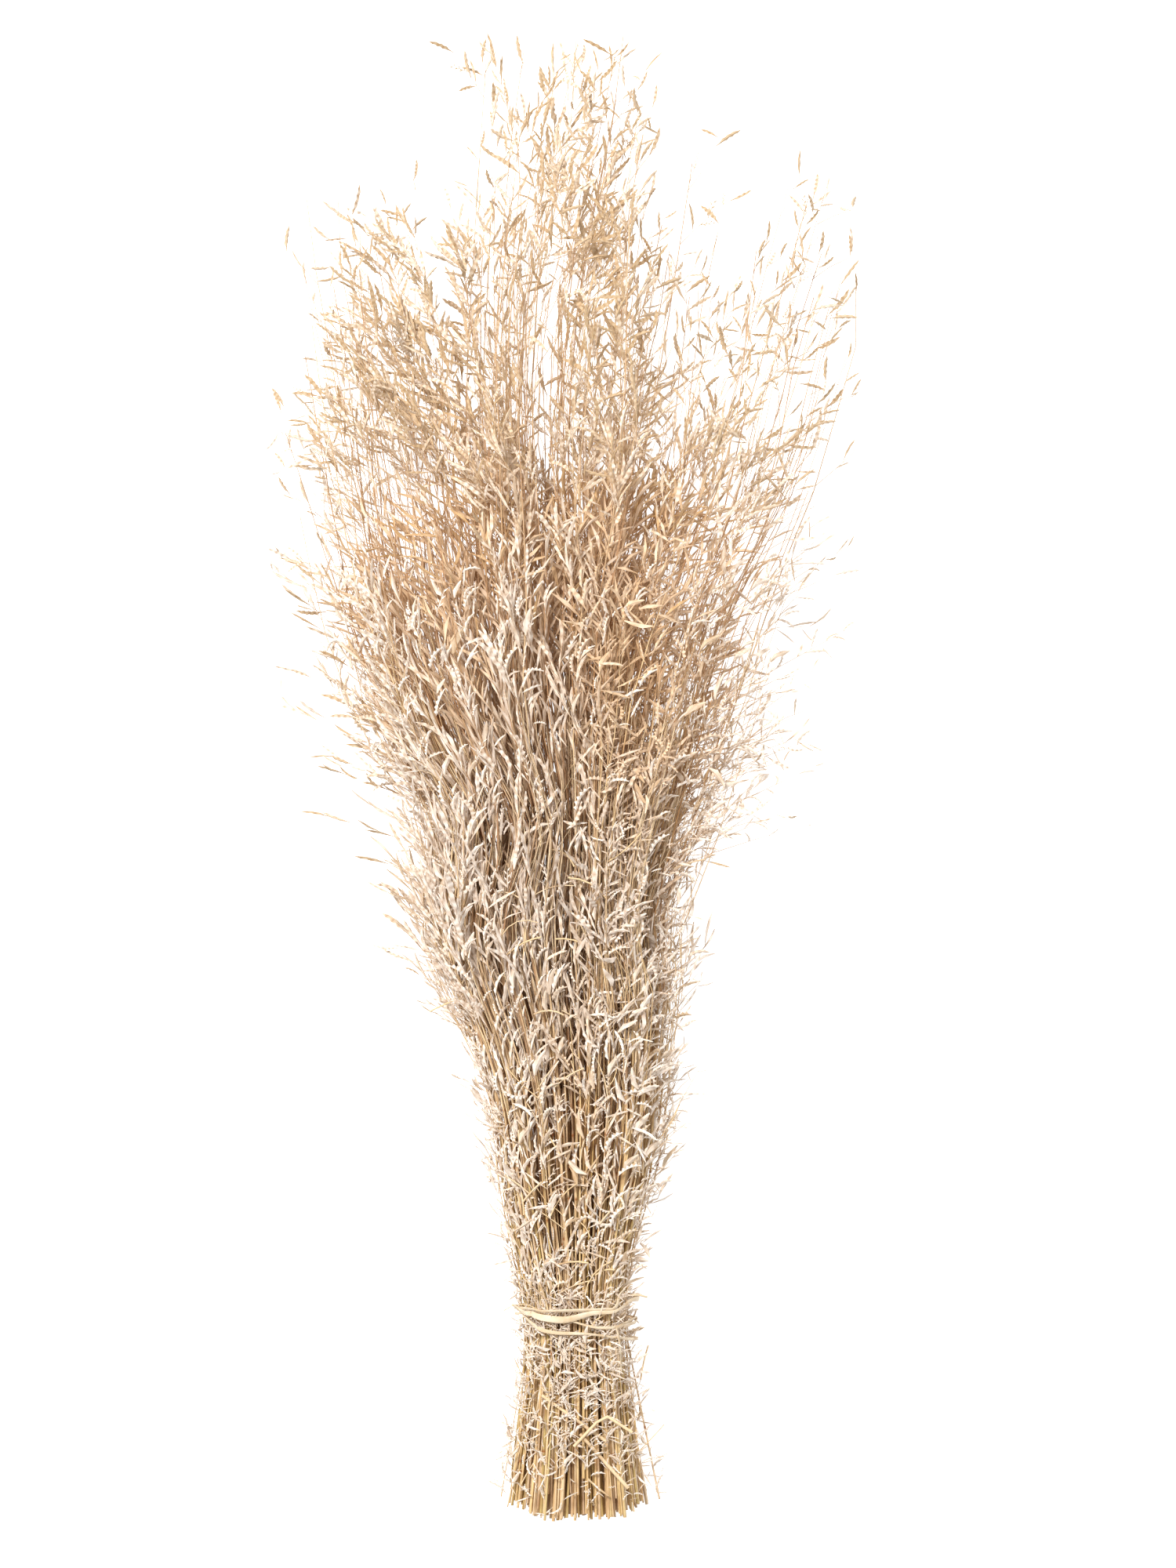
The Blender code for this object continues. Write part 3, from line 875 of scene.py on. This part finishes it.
@functools.lru_cache(maxsize=None)
def culm_straw():
    """Dry grass culm: a hard waxy straw, faintly glossy, with lengthwise fibre streaks.

    Ripe yellow for the most part, some still olive, brown at the joints and in weathered streaks, and browner deep
    inside the bundle, where the brown is painted shade.
    """
    style = settings().culms
    material, tree, place, tint, joint, olive = new_material("dry grass culm", "tint", "joint", "olive")
    # Fibres about 0.25 mm wide and 30 mm long, and weathered blotches about 11 mm across.
    stretched = add_node(tree, "ShaderNodeMapping", {"Vector": place, "Scale": (4000, 33, 4000)})
    fibres = add_node(tree, "ShaderNodeTexNoise", {"Vector": stretched, "Scale": 1.0, "Detail": 2.0})
    blotches = add_node(tree, "ShaderNodeTexNoise", {"Vector": place, "Scale": 90.0, "Detail": 3.0})
    pale = mix(tree, olive, mix(tree, tint, style.straw, style.bleached), style.olive)
    weathered = add_node(tree, "ShaderNodeMapRange", (blotches, 0.50, 0.75, 0.0, 0.55))
    streak = add_node(tree, "ShaderNodeMapRange", (fibres, 0.35, 0.7, 0.80, 1.10))
    streaked = mix(tree, 1.0, mix(tree, weathered, pale, style.brown), streak, "MULTIPLY")
    look = {
        # The brown mix stands for dark joints, cut ends and weathered straw, and also for painted shade on stems and
        # branches deep inside the bundle.
        "Base Color": mix(tree, joint, streaked, style.brown),
        "Normal": add_node(tree, "ShaderNodeBump", {"Strength": 0.35, "Distance": 0.0001, "Height": fibres}),
        "Roughness": 0.5,
        "IOR": 1.5,
    }
    feed(tree, tree.nodes["Principled BSDF"], look)
    return material


@functools.lru_cache(maxsize=None)
def spikelet_husk():
    """Dry spikelet husk: papery overlapping scales, matt, pale at their edges and darker at their roots.

    Each spikelet has its own tone from brown to cream, some are golden, and those in the middle bleached. Husks deep
    inside the bundle are darker, more golden and less bleached, which is painted shade.
    """
    style = settings().heads
    labels = ("tint", "bleach", "gold", "scale")
    material, tree, place, tint, bleach, gold, scale = new_material("dry spikelet husk", *labels)
    ramp = add_node(tree, "ShaderNodeValToRGB", {"Fac": tint})
    stops = ramp.color_ramp.elements
    stops[0].position, stops[0].color = 0.12, style.ripe
    stops[1].position, stops[1].color = 0.88, style.cream
    stops.new(0.5).color = style.tan
    # gold holds the golden patches and also painted shade: husks deep inside the bundle are mixed towards the golden
    # colour.
    gilding_and_shade = add_node(tree, "ShaderNodeMath", (gold, 0.78), operation="MULTIPLY")
    ageing = add_node(tree, "ShaderNodeMath", (bleach, 0.72), operation="MULTIPLY")
    aged = mix(tree, ageing, mix(tree, gilding_and_shade, ramp, style.golden), style.bleached)
    # Each scale's root, in the hollow under the one before it, is browner than its free edge: partly its own colour,
    # partly painted shade of that hollow.
    root = add_node(tree, "ShaderNodeMapRange", (scale, 0.1, 0.9, 0.74, 0.0))
    # Flecks about 0.7 mm across.
    flecks = add_node(tree, "ShaderNodeTexNoise", {"Vector": place, "Scale": 1400.0, "Detail": 2.0})
    worn = add_node(tree, "ShaderNodeMapRange", (flecks, 0.3, 0.7, 0.90, 1.05))
    look = {
        "Base Color": mix(tree, 1.0, mix(tree, root, aged, style.root), worn, "MULTIPLY"),
        "Normal": add_node(tree, "ShaderNodeBump", {"Strength": 0.3, "Distance": 0.0002, "Height": flecks}),
        "Roughness": 0.62,
        "IOR": 1.47,
        "Sheen Weight": 0.15,
        "Sheen Roughness": 0.5,
    }
    feed(tree, tree.nodes["Principled BSDF"], look)
    return material


@functools.lru_cache(maxsize=None)
def tie_straw():
    """Split straw blade: satin cream with fine parallel veins, browner where it is creased."""
    style = settings().tie
    material, tree, place, vein = new_material("split straw blade", "vein")
    # Nine veins across the blade, about 0.4 mm apart, and creased spots about 6 mm across.
    waves = add_node(tree, "ShaderNodeMath", (vein, 2 * math.pi * 9), operation="MULTIPLY")
    ribs = add_node(tree, "ShaderNodeMath", [waves], operation="SINE")
    blotches = add_node(tree, "ShaderNodeTexNoise", {"Vector": place, "Scale": 160.0, "Detail": 3.0})
    shade = add_node(tree, "ShaderNodeMapRange", (blotches, 0.35, 0.75, 0.0, 0.8))
    ribbed = add_node(tree, "ShaderNodeMapRange", (ribs, -1.0, 1.0, 0.88, 1.04))
    look = {
        "Base Color": mix(tree, 1.0, mix(tree, shade, style.straw, style.worn), ribbed, "MULTIPLY"),
        "Normal": add_node(tree, "ShaderNodeBump", {"Strength": 0.4, "Distance": 0.0001, "Height": ribs}),
        "Roughness": 0.45,
        "IOR": 1.5,
    }
    feed(tree, tree.nodes["Principled BSDF"], look)
    return material


@functools.lru_cache(maxsize=None)
def pale_surface():
    """Light table top: even white, lit a little from below, so that gaps in the heads stay bright."""
    style = settings().stage
    material = bpy.data.materials.new("light table")
    material.use_nodes = True
    look = {
        "Base Color": style.floor,
        "Roughness": 0.9,
        "Specular IOR Level": 0.1,
        "Emission Color": (1.0, 1.0, 1.0, 1.0),
        "Emission Strength": style.glow,
    }
    feed(material.node_tree, material.node_tree.nodes["Principled BSDF"], look)
    return material


# ---------------------------------------------------------------- spikelets


def spikelet_mesh(name, scales, width, bend, stalk=0.3, teeth=0.34, comb=False, thick=0.07):
    """One spikelet along +Y: two rows of overlapping scales, of unit length, on a thin stalk.

    It is a flat prism with a keel. Its edges run out at each scale's tip and in above it, left and
    right by turns. bend is how far it curves round, in radians. A comb has teeth on one edge only.
    """
    corners, scale_values = [], []

    def lay(t, left, right, keel, scale):
        """Adds the three corners of the spikelet's section at a share t of its length."""
        turn = bend * max(t, 0.0)
        sway, along = (1 - math.cos(turn)) / bend, math.sin(turn) / bend + min(t, 0.0) + stalk
        for reach, height in ((-left, -keel), (right, -keel), (0.0, keel)):
            corners.append((sway + reach * math.cos(turn), along - reach * math.sin(turn), height * 0.5))
            scale_values.append(scale if reach else 0.75)

    lay(-stalk, 0.007, 0.007, 0.009, 0.4)
    for i in range(scales + 1):
        t = i / scales * 0.96
        swell = min(1.0, (t + 0.05) / 0.16) ** 0.7 * (1.0 - max(0.0, (t - 0.58) / 0.45) ** 2.0)
        half = max(width / 2 * swell, 0.010)
        out, inner = 1.0 + (0.5 if comb else 0.12), 1.0 - teeth
        left = half * (out if i % 2 else inner)
        right = half * (0.75 if comb else (inner if i % 2 else out))
        lay(t, left, right, max(thick * swell, 0.012), 1.0 if i % 2 else 0.25)
    lay(1.0, 0.004, 0.004, 0.004, 1.0)
    last = len(corners) - 3
    faces = [(a + j, a + j + 3, a + k + 3, a + k) for a in range(0, last, 3) for j, k in ((0, 1), (1, 2), (2, 0))]
    faces += [(0, 1, 2), (last + 2, last + 1, last)]
    return faced_mesh(name, corners, faces, spikelet_husk(), scale=scale_values)


def shattered_mesh(name):
    """A spikelet that has shed most of its scales: a bare stalk with a few scales standing off it."""
    corners, faces, scale_values = [], [], []

    def spike(root, along, side, width):
        """Adds one scale, pointed at both ends, with a raised keel."""
        root, along, side = np.array(root), np.array(along), np.array(side)
        belly, first = root + along * 0.4, len(corners)
        lifted = belly + (0.0, 0.0, width * 0.45)
        corners.extend([root, belly - side * width / 2, belly + side * width / 2, lifted, root + along])
        scale_values.extend([0.3, 0.9, 0.9, 0.8, 1.0])
        for a, b in ((1, 2), (2, 3), (3, 1)):
            faces.extend([(first, first + a, first + b), (first + 4, first + b, first + a)])

    spike((0, -0.12, 0), (0.02, 1.05, 0.02), (1, 0, 0), 0.05)
    for i in range(6):
        hand = 1 if i % 2 else -1
        spike((0.0, 0.08 + i * 0.14, 0.0), (hand * 0.13, 0.20, 0.05 * hand), (0.8, -0.6 * hand, 0), 0.075)
    return faced_mesh(name, corners, faces, spikelet_husk(), scale=scale_values)


@functools.lru_cache(maxsize=None)
def spikelet_kinds():
    """The collection that every head is made from, its kinds in the order of their numbers."""
    collection = bpy.data.collections.new("spikelet kinds")
    made = [
        spikelet_mesh("0 full", 9, 0.19, 0.35),
        spikelet_mesh("1 plain", 7, 0.165, 0.30, teeth=0.30),
        spikelet_mesh("2 slim", 5, 0.118, 0.25, teeth=0.22),
        spikelet_mesh("3 curved", 7, 0.14, 1.0, stalk=0.06, teeth=0.32),
        spikelet_mesh("4 blade", 3, 0.085, 0.30, stalk=0.15, teeth=0.12),
        spikelet_mesh("5 comb", 11, 0.15, 1.1, stalk=0.06, teeth=0.65, comb=True),
        shattered_mesh("6 shattered"),
        spikelet_mesh("7 simple", 2, 0.12, 0.4, teeth=0.1),
        spikelet_mesh("8 flake", 3, 0.24, 0.7, stalk=0.04, teeth=0.3),
    ]
    for mesh in made:
        collection.objects.link(bpy.data.objects.new(mesh.name, mesh))
    return collection


def grow_spikelets(name, spikelets, seed):
    """One piece of all these spikelets, their sizes varied a little by the seed."""
    values = {"Kinds": spikelet_kinds(), "Material": spikelet_husk(), "Surface": SURFACE}
    sizes = {"Length": settings().heads.length, "Variation": 0.12, "Seed": seed}
    return run_tree(name, points_mesh(name, spikelets), spikelet_tree(), **values, **sizes)


def grow_straws(name, lines, sides):
    """One piece of a round straw along each of these lines."""
    values = {"Sides": sides, "Surface": SURFACE, "Material": culm_straw()}
    return run_tree(name, lines_mesh(name, lines), tube_tree(), **values)


# ---------------------------------------------------------------- operators


class GRASS_OT_culms(bpy.types.Operator):
    """Makes the culms of every lock, with their joints, and the thin branches of their heads."""

    bl_idname = "grass.culms"
    bl_label = "Culms and branches"

    def execute(self, context):
        for lock in LOCK_NAMES:
            stems = [culm.line(plan().depth) for culm in plan().culms[lock] + plan().stubs[lock]]
            for part, lines, sides in (("culms", stems, 5), ("branches", plan().branches[lock], 3)):
                if lines:
                    straws = grow_straws(lock.replace("grass_lock", part), lines, sides)
                    finish_piece(straws, [lock])
        return {"FINISHED"}


class GRASS_OT_heads(bpy.types.Operator):
    """Makes the spikelets of every lock's flower heads."""

    bl_idname = "grass.heads"
    bl_label = "Flower heads"

    def execute(self, context):
        for number, lock in enumerate(LOCK_NAMES):
            if plan().spikelets[lock]:
                head = grow_spikelets(lock.replace("grass_lock", "head"), plan().spikelets[lock], number)
                finish_piece(head, [lock])
        return {"FINISHED"}


class GRASS_OT_chaff(bpy.types.Operator):
    """Lays loose spikelets, chaff and fine straw bits on the stems, above and round the tie."""

    bl_idname = "grass.chaff"
    bl_label = "Loose spikelets and chaff"

    def execute(self, context):
        style = settings().chaff
        rng = np.random.default_rng(CHAFF_SEED)
        above = self.scatter(style.on_stems, TIE_Y + 0.008, TIE_Y + 0.37, rng, mess=0.5, sizes=(0.35, 0.95))
        finish_piece(grow_spikelets("loose_spikelets", above, LOOSE_SIZE_SEED), [])
        around = self.scatter(style.at_tie, TIE_Y + 0.014, CUT_ENDS_Y + 0.004, rng, mess=1.1, sizes=(0.22, 0.58))
        finish_piece(grow_spikelets("tie_chaff", around, TIE_CHAFF_SIZE_SEED), [])
        finish_piece(grow_straws("straw_bits", self.bits(style.straws, rng), sides=4), [])
        return {"FINISHED"}

    def spots(self, count, first, last, rng):
        """Places on the outside of the stems, most of them on top, with the way out and one along the skin.

        They run from first to last, and thin out on the way if that is towards the cut ends.
        """
        levels, rows = plan().levels, plan().rows
        low, high = np.searchsorted(levels, sorted((first, last)))
        downwards = first > last
        sides, shares = (90, 60, 120, 10, 170, 270), (0.42, 0.12, 0.12, 0.13, 0.15, 0.06)
        while count > 0:
            share = rng.beta(1.0, 1.0 + 0.7 * downwards)
            level = int(high - 1 - share * (high - low - 1)) if downwards else int(low + share * (high - low))
            angle = math.radians(rng.choice(sides, p=shares))
            out, aside = np.array([[math.cos(angle), math.sin(angle)], [-math.sin(angle), math.cos(angle)]])
            points = rows[level][:, [0, 2]]
            sideways = points @ aside
            near = points[np.abs(sideways - rng.uniform(sideways.min(), sideways.max())) < SKIN_STRIP]
            if not len(near):
                continue
            x, z = near[np.argmax(near @ out)]
            if rng.random() < 0.75 * bare_at(x, levels[level]):
                continue
            y = levels[level] + rng.uniform(-0.5, 0.5) * (levels[1] - levels[0])
            yield np.array([x, y, z]), np.array([out[0], 0.0, out[1]]), np.array([-out[1], 0.0, out[0]])
            count -= 1

    def scatter(self, count, first, last, rng, mess, sizes):
        """Loose spikelets lying on the stems. Where mess is over 1 they are as tangled everywhere."""
        laid = []
        kinds, shares = (SLIM, BLADE, CURVED, COMB, SHATTERED, FLAKE), (0.14, 0.18, 0.22, 0.22, 0.08, 0.16)
        for place, outward, flat in self.spots(count, first, last, rng):
            local = 1.0 if mess > 1 else 0.35 + 0.65 * mess_at(place[0], place[1])
            spin = rng.normal(0.0, mess * local) if rng.random() < 0.8 else rng.uniform(-math.pi, math.pi) * local
            along = lean(AHEAD, flat, spin)
            along = lean(along, outward, rng.normal(0.12 + 0.45 * abs(outward[0]), 0.18))
            kind = int(rng.choice(kinds, p=shares))
            pale = kind in (COMB, CURVED) and rng.random() < 0.5
            bleach = 0.0 if pale else bleach_at(place[0], place[1])
            gold = 0.0 if pale else 0.8 * gold_at(place[0], place[1])
            root = settle(place + outward * rng.uniform(0.0008, 0.0045))
            roll, size = rng.normal(0.0, 0.9), rng.uniform(*sizes)
            tint = np.clip(rng.normal(0.89 if pale else 0.59, 0.22), 0, 1)
            laid.append(Spikelet(root, along, roll, size, kind, tint, bleach, gold))
        return laid

    def bits(self, count, rng):
        """Fine bent bits of branch, lying anyhow."""
        lines = []
        for place, outward, flat in self.spots(count, TIE_Y + 0.24, CUT_ENDS_Y + 0.010, rng):
            along = lean(AHEAD, flat, rng.normal(0.0, 0.8))
            length, bend = rng.uniform(0.008, 0.024), rng.normal(0.0, 0.9)
            start = place + outward * rng.uniform(0.001, 0.004)

            def turn(heading):
                return np.cross(outward, heading) * bend / 4 + outward * 0.03

            values = {"tint": rng.uniform(0.4, 1.0)}
            lines.append((bend_on(start, along, turn, length, 4), rng.uniform(0.0002, 0.0005), values))
        return lines


class GRASS_OT_tie(bpy.types.Operator):
    """Winds the straw blades round the stems and leaves their ends standing off at the tuck."""

    bl_idname = "grass.tie"
    bl_label = "Straw tie"

    def execute(self, context):
        style = settings().tie
        # Each turn: place along the bundle, slant, sag over the top, height off the stems, width.
        turns = {
            "tie_turn_1": (-0.0076, -0.0070, -0.0030, 0.0046, 0.60),
            "tie_turn_2": (-0.0036, -0.0026, -0.0004, 0.0046, 0.50),
            "tie_turn_3": (0.0030, 0.0022, -0.0050, 0.0056, 1.00),
        }
        rng = np.random.default_rng(TIE_SEED)
        for node, (along, slant, sag, lift, share) in turns.items():
            blade = self.turn(node, TIE_Y + along, slant, sag, lift, share, style, rng)
            finish_piece(blade, [node])
        finish_piece(self.tuck(style), ["tie_tucked_turn"])
        return {"FINISHED"}

    def skin(self, y, lift):
        """Points of a band drawn tight round the stems, evenly spaced from the right, and the ways out."""
        section = np.array([culm.at(y)[0][[0, 2]] for culm in plan().all_culms])
        angles = np.radians(np.arange(0, 361, 2))
        outward = np.column_stack([np.cos(angles), np.sin(angles)])
        hull = section[np.argmax(section @ outward.T, axis=0)] + outward * (0.0009 + lift)
        length = np.concatenate([[0.0], np.cumsum(np.linalg.norm(np.diff(hull, axis=0), axis=1))])
        even = np.linspace(0, length[-1], BAND_POINTS, endpoint=False)
        angle = np.interp(even, length + np.arange(len(length)) * 1e-9, angles)
        x, z = np.interp(even, length, hull[:, 0]), np.interp(even, length, hull[:, 1])
        points = np.column_stack([x, np.full(BAND_POINTS, y), np.maximum(z, 0.0010)])
        return points, np.column_stack([np.cos(angle), np.zeros(BAND_POINTS), np.sin(angle)])

    def turn(self, name, y, slant, sag, lift, share, style, rng):
        """A turn that slants and sags, and waves a little. It is widest in the middle, on top."""
        points, outs = self.skin(y, lift)
        half = (points[:, 0].max() - points[:, 0].min()) / 2
        reach = (points[:, 0] - points[:, 0].min()) / half - 1.0
        around = np.linspace(0, 2 * math.pi, len(points), endpoint=False)
        points[:, 1] += slant * reach + sag * (1 - reach**2) * np.clip(outs[:, 2], 0, 1)
        points[:, 1] += sum(w * np.sin((k + 2) * around + k) for k, w in enumerate(rng.normal(0, 0.0005, 6)))
        twist = 0.30 * np.sin(around * 4 + rng.uniform(0, 6))
        widths = style.blade_width * share * (0.85 - 0.35 * reach**2 + 0.25 * np.sin(around * 3 + rng.uniform(0, 6)))
        return blade_piece(name, points, outs, widths, twist, style, closed=True)

    def tuck(self, style):
        """The blade's last turn: it starts in a curl at the upper right and ends hanging towards the cut ends."""
        points, outs = self.skin(TIE_Y - 0.001, 0.0048)
        start = int(np.argmax(outs[:, 2] > math.sin(TUCK_ANGLE)))
        points, outs = np.roll(points, -start, axis=0), np.roll(outs, -start, axis=0)
        along = np.linspace(0, 1, len(points))
        points[:, 1] += 0.0050 * np.cos(math.pi * along) - 0.0020 * np.clip(outs[:, 2], 0, 1)
        steps = np.linspace(1.0, 0.14, END_POINTS)[:, None]
        out = outs[0]
        side = np.array([out[2], 0.0, -out[0]])
        curl = steps * (side * 0.006 + AHEAD * 0.010) + out * 0.0016 * np.sin(steps * 7)
        hang = steps * (side * 0.0035 - AHEAD * 0.024) + out * 0.0012 * np.sin(steps * 5)
        points = np.vstack([points[0] + curl, points, points[-1] + hang[::-1]])
        outs = np.pad(outs, ((END_POINTS, END_POINTS), (0, 0)), mode="edge")
        widths = style.blade_width * (0.50 + 0.08 * np.sin(np.linspace(0, 17, len(points))))
        widths[:END_POINTS] *= np.linspace(0.3, 1.0, END_POINTS)
        widths[-END_POINTS:] *= np.linspace(1.0, 0.3, END_POINTS)
        twist = 0.5 * np.sin(np.linspace(0, 9, len(points)))
        return blade_piece("tie_tucked_blade", points, outs, widths, twist, style, closed=False)


def blade_piece(name, points, outs, widths, twist, style, closed):
    """A flat folded straw blade along points. outs face away from the stems, and twist rolls it."""
    ahead = np.roll(points, -1, axis=0) - np.roll(points, 1, axis=0)
    if not closed:
        ahead[0], ahead[-1] = points[1] - points[0], points[-1] - points[-2]
    ahead = unit(ahead)
    broad = unit(np.cross(ahead, outs))
    face = np.cross(broad, ahead)
    cos, sin = np.cos(twist)[:, None], np.sin(twist)[:, None]
    broad, face = broad * cos + face * sin, face * cos - broad * sin
    half = style.blade_thickness / 2
    # Across the blade: a fold on one side, two flats and a rib, top and underneath.
    top = ((-0.5, 0.0), (-0.42, 0.9), (-0.16, 0.65), (0.05, 1.15), (0.3, 0.7), (0.45, 0.6))
    section = (*top, (0.5, 0.0), (0.2, -0.6), (-0.2, -0.8))
    rings = [points + broad * (widths * reach)[:, None] + face * (half * height) for reach, height in section]
    corners = np.stack(rings, axis=1).reshape(-1, 3)
    corners[:, 2] = np.maximum(corners[:, 2], SURFACE)
    sides, count = len(section), len(points)
    faces = []
    for i in range(count if closed else count - 1):
        here, there = i * sides, (i + 1) % count * sides
        faces += [(here + k, there + k, there + (k + 1) % sides, here + (k + 1) % sides) for k in range(sides)]
    if not closed:
        last = (count - 1) * sides
        faces += [tuple(range(sides)), tuple(range(last + sides - 1, last - 1, -1))]
    veins = np.tile([reach + 0.5 for reach, _ in section], count)
    mesh = faced_mesh(name, corners.tolist(), faces, tie_straw(), vein=veins)
    mesh.polygons.foreach_set("use_smooth", [True] * len(mesh.polygons))
    return place_piece(name, mesh)


class GRASS_OT_straws(bpy.types.Operator):
    """Lays the broken straws that are caught near the cut ends."""

    bl_idname = "grass.straws"
    bl_label = "Broken straws"

    def execute(self, context):
        rng = np.random.default_rng(STRAW_SEED)
        for node in sorted(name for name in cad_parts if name.startswith("loose_stalk_")):
            corners = np.array([vertex.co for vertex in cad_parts[node].data.vertices])
            spread = np.linalg.svd(corners - corners.mean(axis=0), full_matrices=False)[2][0]
            order = np.argsort(corners @ spread)
            gaps = np.nonzero(np.diff((corners @ spread)[order]) > 0.002)[0]
            points = np.array([ring.mean(axis=0) for ring in np.split(corners[order], gaps + 1)])
            thickness = 0.00085 * rng.uniform(0.85, 1.1, len(points))
            values = {"tint": rng.uniform(0.6, 1.0)}
            name = node.replace("loose_stalk", "broken_straw")
            finish_piece(grow_straws(name, [(points, thickness, values)], sides=8), [node])
        return {"FINISHED"}


class GRASS_OT_stage(bpy.types.Operator):
    """Makes the pale surface, the soft lights and the camera, which looks straight down."""

    bl_idname = "grass.stage"
    bl_label = "Surface, lights and camera"

    def execute(self, context):
        style, scene = settings().stage, context.scene
        size = 6.0
        corners = [(-size, -size, 0), (size, -size, 0), (size, size, 0), (-size, size, 0)]
        surface = place_piece("surface", faced_mesh("surface", corners, [(0, 1, 2, 3)], pale_surface()))

        world = bpy.data.worlds.new("soft studio")
        world.use_nodes = True
        sky = {"Color": (1.0, 1.0, 1.0, 1.0), "Strength": style.sky}
        feed(world.node_tree, world.node_tree.nodes["Background"], sky)
        scene.world = world

        key = place_piece("key light", bpy.data.lights.new("key light", "AREA"))
        key.data.size = 0.5
        key.data.energy = style.key
        key.data.color = (1.0, 1.0, 1.0)
        key.location = (-0.65, 0.85, 2.2)
        key.rotation_euler = (-key.location).to_track_quat("-Z", "Y").to_euler()

        camera = place_piece("camera", bpy.data.cameras.new("camera"))
        camera.location = (0.011, -0.0045, style.camera_height)
        # The view length is measured halfway up the bundle.
        camera.data.lens = camera.data.sensor_width * (style.camera_height - 0.05) / style.view_length
        scene.camera = camera
        scene.view_settings.view_transform = "Standard"
        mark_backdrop(surface, key, camera)
        return {"FINISHED"}


STEPS = (GRASS_OT_culms, GRASS_OT_heads, GRASS_OT_chaff, GRASS_OT_tie, GRASS_OT_straws, GRASS_OT_stage)


class GRASS_PT_panel(bpy.types.Panel):
    """Lists the steps that make the bundle, and what they can be told."""

    bl_idname = "GRASS_PT_panel"
    bl_label = "Munni Grass"
    bl_space_type = "VIEW_3D"
    bl_region_type = "UI"
    bl_category = "Munni Grass"

    def draw(self, context):
        for name in GrassSettings.__annotations__:
            group = getattr(settings(), name)
            box = self.layout.box()
            box.label(text=name.capitalize())
            for label in group.__annotations__:
                box.prop(group, label)
        for step in STEPS:
            self.layout.operator(step.bl_idname)


CLASSES = (
    *(CulmSettings, HeadSettings, TieSettings, ChaffSettings, StageSettings, GrassSettings),
    *STEPS,
    GRASS_PT_panel,
)


def register():
    for cls in CLASSES:
        bpy.utils.register_class(cls)
    bpy.types.Scene.munni_grass = PointerProperty(type=GrassSettings)


def unregister():
    del bpy.types.Scene.munni_grass
    for cls in reversed(CLASSES):
        bpy.utils.unregister_class(cls)


def main():
    register()
    bpy.ops.grass.culms()
    bpy.ops.grass.heads()
    bpy.ops.grass.chaff()
    bpy.ops.grass.tie()
    bpy.ops.grass.straws()
    bpy.ops.grass.stage()
    boxes = {"solid": SOLID_BOX, "look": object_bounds()}
    {name: [list(low), list(high)] for name, (low, high) in boxes.items()}


if __name__ == "__main__":
    main()
